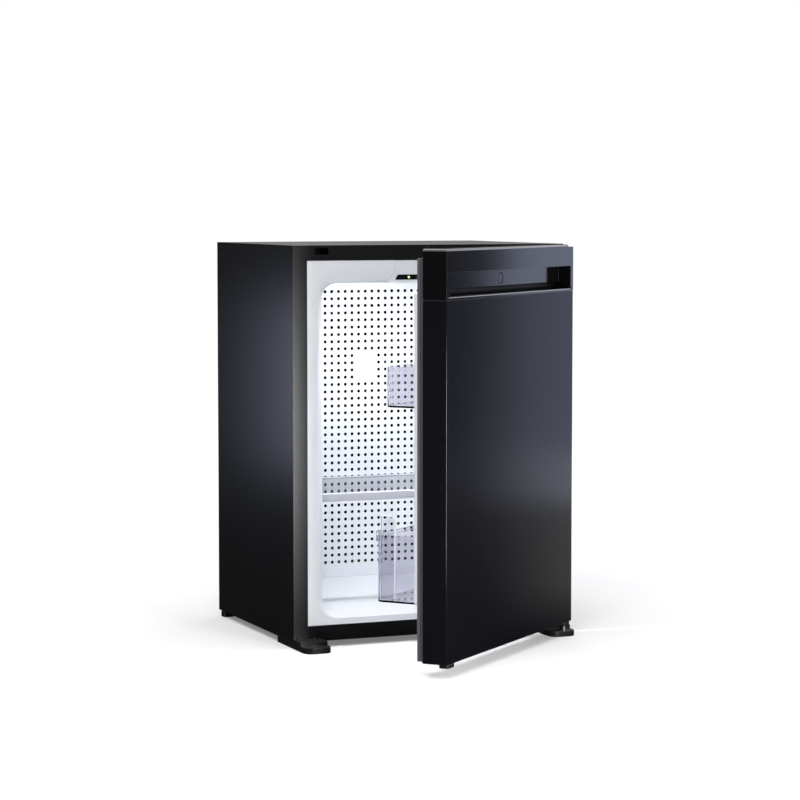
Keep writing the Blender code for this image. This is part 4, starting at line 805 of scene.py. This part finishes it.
def make_retainer():
    """The clear divider on the lower bin, with a pale opaque strip along its edge as a painted
    highlight.
    """
    low_x, inner, bottom, top = LEFT + 0.0795, 0.0917, 0.0886, 0.2025
    reach, thick, rim = 0.021, 0.002, 0.1774
    saddle_low, saddle_high = low_x - 0.005, low_x + 0.007
    leg_inner, leg_outer = inner + 0.0026, inner + 0.0046

    def upper_inner(middle):
        return middle.y < inner - 0.01 and middle.z > bottom + 0.01

    plate = box("retainer_plate", (low_x, inner - reach, bottom), (low_x + thick, inner, top))
    round_edges(plate, edges_along(0, upper_inner), 0.008, 6)
    cap = box("retainer_cap", (saddle_low, inner - 0.002, rim + JOINT_GAP),
              (saddle_high, leg_outer, rim + JOINT_GAP + 0.004))
    leg = box("retainer_leg", (saddle_low, leg_inner, rim - 0.010),
              (saddle_high, leg_outer, rim + 0.002))
    carve(plate, cap, leg, operation="UNION")
    soften(plate, 0.0003, SMOKE, 2, 40)
    finish_piece(settle(plate, True), "bottle_retainer", SMOKE, "smoke_clear", "bottle_retainer")
    # A pale strip round the plate's free edge: a painted highlight.
    half, past = 0.0011, 0.0006
    edge = box("retainer_edge", (low_x + 0.001 - half, inner - reach - past, bottom + 0.001),
               (low_x + 0.001 + half, inner, top + past))
    round_edges(edge, edges_along(0, upper_inner), 0.0086, 6)
    space = box("edge_space", (low_x - 0.01, inner - reach + 2 * past, bottom - 0.01),
                (low_x + 0.01, inner + 0.01, top - 2 * past))
    round_edges(space, edges_along(0, upper_inner), 0.0068, 6)
    carve(edge, space)
    soften(edge, 0.0004, RETAINER_EDGE_HIGHLIGHT, 2, 40)
    finish_piece(settle(edge, True), "bottle_retainer", RETAINER_EDGE_HIGHLIGHT, "smoke_clear")


def make_door():
    """All that hangs on the hinge."""
    make_panel()
    make_handle()
    make_button()
    make_gasket()
    make_bin("lower_bin", *LOWER_BIN)
    make_bin("upper_bin", *UPPER_BIN)
    make_retainer()
    dress("door_liner", 0.0010, 3)
    dress("lower_bush", 0.0006)
    dress("corner_plug", 0.0006)


# Cooling unit
def screw_row(name, places, radius, slot, finish):
    """Domed cross-headed screws that look backwards, one shape copied to each place."""
    head = bar(name + "_head", (0, -0.0006, 0), (0, 0.0016, 0), radius, 24)
    choose(head, "FACE", faces_towards(1, 1))
    bpy.ops.mesh.inset(thickness=radius * 0.45)
    bpy.ops.transform.translate(value=(0, 0.0003, 0))
    rest()
    long, short = radius * 0.55, radius * 0.14
    for size in ((long, short), (short, long)):
        carve(head, box("cross_cut", (-size[0], 0.0010, -size[1]), (size[0], 0.003, size[1])))
    soften(head, 0.0003, finish, 2)
    heads = []
    for place in places:
        copy = bpy.data.objects.new(name, head.data.copy())
        scene.collection.objects.link(copy)
        copy.location = place
        keep_place(copy)
        heads.append(copy)
    bpy.data.objects.remove(head, do_unlink=True)
    return finish_piece(fuse(*heads), "cabinet", finish, slot)


def make_fixings():
    """Screws of the straps and of the rear sheet."""
    strap_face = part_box("unit_strap_lower")[1][1]
    places = []
    for node, levels in (("unit_strap_lower", 1), ("unit_strap_middle", 2), ("unit_strap_upper", 1)):
        low, high = (Vector(corner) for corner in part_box(node))
        for side in (-1, 1):
            for level in range(levels):
                height = low.z + (high.z - low.z) * (level + 0.5) / levels
                places.append((side * (high.x - 0.007), strap_face, height))
    screw_row("strap_screws", places, 0.0034, "steel", STEEL)
    low, high = (Vector(corner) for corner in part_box("back_plate"))
    places = [(side * (high.x - 0.008), high.y, low.z + 0.012 + part * (high.z - low.z - 0.024))
              for side in (-1, 1) for part in (0.0, 0.33, 0.66, 1.0)]
    places += [(0.0, high.y, low.z + 0.012), (0.0, high.y, high.z - 0.012)]
    screw_row("rear_sheet_screws", places, 0.0030, "screw_black", SCREW_METAL)


def make_power_box():
    """The control box with its lid seam, vents and screws, and the pins of its inlet."""
    low, high = (Vector(corner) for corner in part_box("power_box"))
    shell = copy_node("power_box", "power_box_shell")
    margin = Vector((0.002, 0, 0.002))
    seam = ring("lid_seam", (low.x - margin.x, low.y + 0.0240, low.z - margin.z),
                (high.x + margin.x, low.y + 0.0248, high.z + margin.z), 0.0026)
    carve(shell, seam)
    middle_x = (low.x + high.x) / 2
    for row in range(7):
        level = low.z + 0.030 + row * 0.0055
        carve(shell, box("vent", (middle_x - 0.013, high.y - 0.0012, level),
                         (middle_x + 0.013, high.y + 0.001, level + 0.0022)))
    soften(shell, 0.0005, FINISHES["foot_black"])
    finish_piece(shell, "cabinet", FOOT_PLASTIC, "foot_black", "power_box")
    corners = [(middle_x + side * 0.019, high.y, level)
               for side in (-1, 1) for level in (low.z + 0.008, high.z - 0.008)]
    screw_row("lid_screws", corners, 0.0028, "screw_black", SCREW_METAL)
    low, high = (Vector(corner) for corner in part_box("mains_inlet"))
    centre = (low + high) / 2
    pins = []
    for shift, depth in ((-0.0070, 0.0015), (0.0070, 0.0015), (0.0, -0.0030)):
        pin = box("inlet_pins", (centre.x + shift - 0.0010, centre.y + depth - 0.0020, low.z + 0.0035),
                  (centre.x + shift + 0.0010, centre.y + depth + 0.0020, high.z - 0.0029))
        soften(pin, 0.0003, STEEL)
        pins.append(pin)
    finish_piece(fuse(*pins), "cabinet", STEEL, "steel")


def make_boiler_bands():
    """Two clamp bands round the boiler's sleeve, each with its ear and bolt."""
    low, high = (Vector(corner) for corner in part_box("boiler_canister"))
    centre = (low + high) / 2
    radius = (high.x - low.x) / 2
    bands = []
    for level in (low.z + 0.036, high.z - 0.036):
        band = bar("boiler_bands", (centre.x, centre.y, level - 0.005),
                   (centre.x, centre.y, level + 0.005), radius + 0.0006, 48)
        ear = box("band_ear", (centre.x - 0.004, high.y - 0.003, level - 0.004),
                  (centre.x + 0.004, high.y + 0.005, level + 0.004))
        carve(ear, box("ear_gap", (centre.x - 0.0009, high.y + 0.0008, level - 0.01),
                       (centre.x + 0.0009, high.y + 0.01, level + 0.01)))
        bolt = bar("band_bolt", (centre.x - 0.0062, high.y + 0.0030, level),
                   (centre.x + 0.0062, high.y + 0.0030, level), 0.0014, 16)
        carve(band, ear, bolt, operation="UNION")
        soften(band, 0.0003, STEEL)
        bands.append(band)
    finish_piece(fuse(*bands), "cabinet", STEEL, "steel")


def make_weld_rings():
    """Weld beads round the absorber vessel's ends."""
    low, high = (Vector(corner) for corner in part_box("absorber_vessel"))
    centre = (low + high) / 2
    beads = []
    for place in (low.x + 0.007, high.x - 0.007):
        rest()
        bpy.ops.mesh.primitive_torus_add(major_segments=48, minor_segments=10,
                                         major_radius=(high.z - low.z) / 2, minor_radius=0.0011,
                                         location=(place, centre.y, centre.z),
                                         rotation=(0, math.radians(90), 0))
        bead = bpy.context.active_object
        bead.name = "weld_beads"
        keep_place(bead)
        beads.append(bead)
    bead = fuse(*beads)
    bpy.ops.object.shade_smooth()
    # The beads take the lighter copy of the unit paint, a painted highlight.
    finish_piece(bead, "cabinet", UNIT_EDGE_HIGHLIGHT, "unit_black")


def make_unit():
    """Shells and fittings of the cooling unit."""
    for node in ("boiler_canister", "absorber_vessel"):
        dress(node, 0.0030, 4)
    for node in ("mains_inlet", "unit_strap_lower", "unit_strap_middle", "unit_strap_upper"):
        dress(node, 0.0006)
    dress("condenser", 0.0002, 1)
    make_fixings()
    make_power_box()
    make_boiler_bands()
    make_weld_rings()


# Floor, light and camera. Lamps: name, place, aim, size, power in watts, colour.
ROOM_LEVEL = 0.44
CURTAIN_RADIUS = 2.8
CURTAIN_HEIGHT = 1.05
CURTAIN_LEVEL = 0.02
# Glow of the painted pool of light on the ground cloth, seen in gloss alone.
CLOTH_LIGHT_POOL_LEVEL = 0.50
FLOOR_COLOR = 0.80
FLOOR_LIFT = 0.18
FAR_LIFT = 0.66
CAMERA_PLACE = (-1.45859, -3.451839, 0.62720)
CAMERA_PITCH = 4.368
CAMERA_YAW = -22.516
CAMERA_LENS = 117.53
CAMERA_SENSOR = 36.0
NEUTRAL = (1.0, 1.0, 1.0)
COOL = (0.68, 0.75, 1.0)
LAMPS = (
    ("key_softbox", (-1.2, -1.8, 1.9), (0.0, 0.1, 0.3), (1.2, 1.2), 27.0, NEUTRAL),
    ("top_softbox", (0.0, 0.5, 2.4), (0.0, 0.0, 0.3), (2.2, 2.2), 34.0, NEUTRAL),
    ("right_softbox", (1.65, 0.70, 0.70), (0.1, -0.1, 0.70), (0.9, 1.4), 3.9, COOL),
    ("left_softbox", (-0.68, 0.80, 0.31), (-0.2, -0.05, 0.31), (0.20, 0.30), 0.53, COOL),
    ("flange_softbox", (0.05, -1.01, 0.22), (-0.2, -0.05, 0.24), (0.15, 0.34), 9.0, NEUTRAL),
    ("chamber_lamp", (0.0, -0.03, 0.508), (0.0, 0.10, 0.1), (0.10, 0.02), 1.1, NEUTRAL),
)


def level_for_ray(tree, seen, other):
    """One level where the background is seen, in gloss and through glass too, and one elsewhere."""
    path = add(tree, "ShaderNodeLightPath")
    direct = add(tree, "ShaderNodeMath", {0: path.outputs["Is Camera Ray"],
                                          1: path.outputs["Is Transmission Ray"]},
                 operation="MAXIMUM")
    shown = add(tree, "ShaderNodeMath", {0: direct.outputs[0], 1: path.outputs["Is Glossy Ray"]},
                operation="MAXIMUM")
    level = add(tree, "ShaderNodeMix", {0: shown.outputs[0], 2: other, 3: seen})
    return level.outputs[0]


def make_curtain():
    """A dark curtain and ground cloth round the set, open at the top, seen in gloss alone; behind the
    door the cloth glows paler to the right, a painted pool of light.

    They give the black shell the dark reflections that it has in the photograph.
    """
    rest()
    bpy.ops.mesh.primitive_cylinder_add(vertices=48, radius=CURTAIN_RADIUS, depth=CURTAIN_HEIGHT,
                                        location=(0, 0, CURTAIN_HEIGHT / 2 + 0.0005))
    curtain = bpy.context.active_object
    curtain.name = "dark_curtain"
    keep_place(curtain)
    choose(curtain, "FACE", faces_towards(2, 1))
    bpy.ops.mesh.delete(type="FACE")
    rest()
    material, tree, shader = blank("curtain_cloth")
    shader.inputs["Base Color"].default_value = (0.0, 0.0, 0.0, 1.0)
    shader.inputs["Specular IOR Level"].default_value = 0.0
    shader.inputs["Emission Color"].default_value = (1.0, 1.0, 1.0, 1.0)
    place = add(tree, "ShaderNodeTexCoord")
    across = add(tree, "ShaderNodeSeparateXYZ", {0: place.outputs["Object"]})
    beyond = add(tree, "ShaderNodeVectorMath", {0: place.outputs["Object"], 1: (-0.293, 1.0, 0.0)},
                 operation="DOT_PRODUCT")
    behind = add(tree, "ShaderNodeMapRange", {"Value": beyond.outputs["Value"], "From Min": -0.27,
                                              "From Max": -0.11})
    # Glow on the ground cloth, stronger to the right: a painted pool of light that the door mirrors.
    painted_light_pool = add(tree, "ShaderNodeMapRange", {"Value": across.outputs["X"], "From Min": 0.2,
                                             "From Max": 0.7, "To Min": 0.0,
                                             "To Max": CLOTH_LIGHT_POOL_LEVEL})
    low = add(tree, "ShaderNodeMath", {0: across.outputs["Z"], 1: 0.01}, operation="LESS_THAN")
    share = add(tree, "ShaderNodeMath", {0: low.outputs[0], 1: behind.outputs[0]},
                operation="MULTIPLY")
    tone = add(tree, "ShaderNodeMath", {0: share.outputs[0], 1: painted_light_pool.outputs[0],
                                        2: CURTAIN_LEVEL}, operation="MULTIPLY_ADD")
    tree.links.new(tone.outputs[0], shader.inputs["Emission Strength"])
    curtain.data.materials.append(material)
    curtain.visible_camera = False
    curtain.visible_diffuse = False
    curtain.visible_transmission = False
    curtain.visible_shadow = False


def make_floor():
    """Pale paper that is lifted to white where it is seen, with the shadow kept."""
    rest()
    bpy.ops.mesh.primitive_plane_add(size=30, location=(0, 0, 0))
    floor = bpy.context.active_object
    floor.name = "studio_floor"
    keep_place(floor)
    material, tree, shader = blank("floor_paper")
    shader.inputs["Base Color"].default_value = (FLOOR_COLOR, FLOOR_COLOR, FLOOR_COLOR, 1.0)
    shader.inputs["Roughness"].default_value = 0.9
    shader.inputs["Specular IOR Level"].default_value = 0.0
    shader.inputs["Emission Color"].default_value = (1.0, 1.0, 1.0, 1.0)
    place = add(tree, "ShaderNodeTexCoord")
    away = add(tree, "ShaderNodeVectorMath", {0: place.outputs["Object"]}, operation="LENGTH")
    rise = add(tree, "ShaderNodeMapRange", {"Value": away.outputs["Value"], "From Min": 0.6,
                                            "From Max": 2.2, "To Min": FLOOR_LIFT,
                                            "To Max": FAR_LIFT})
    lift = level_for_ray(tree, rise.outputs[0], 0.0)
    tree.links.new(lift, shader.inputs["Emission Strength"])
    floor.data.materials.append(material)


def make_room():
    """The white background and its softer share of the light."""
    world = bpy.data.worlds.new("studio")
    scene.world = world
    world.use_nodes = True
    tree = world.node_tree
    background = tree.nodes["Background"]
    background.inputs["Color"].default_value = (1.0, 1.0, 1.0, 1.0)
    tree.links.new(level_for_ray(tree, 1.0, ROOM_LEVEL), background.inputs["Strength"])


def make_lamps():
    """The softboxes and the small lamp in the chamber."""
    for name, place, aim, size, power, color in LAMPS:
        rest()
        bpy.ops.object.light_add(type="AREA", location=place)
        lamp = bpy.context.active_object
        lamp.name = name
        lamp.data.shape = "RECTANGLE"
        lamp.data.size, lamp.data.size_y = size
        lamp.data.energy = power
        lamp.data.color = color
        lamp.visible_camera = False
        turn = Vector(aim) - Vector(place)
        lamp.rotation_euler = turn.to_track_quat("-Z", "Y").to_euler()


def make_camera():
    """The camera at the photograph's angle."""
    rest()
    bpy.ops.object.camera_add(location=CAMERA_PLACE,
                              rotation=(math.radians(90 - CAMERA_PITCH), 0,
                                        math.radians(CAMERA_YAW)))
    camera = bpy.context.active_object
    camera.data.sensor_width = CAMERA_SENSOR
    camera.data.lens = CAMERA_LENS
    scene.camera = camera
    scene.view_settings.view_transform = "Standard"


make_case()
make_control_module()
make_cabinet()
make_cover()
make_screws()
make_door()
make_unit()
make_floor()
make_room()
make_curtain()
make_lamps()
make_camera()
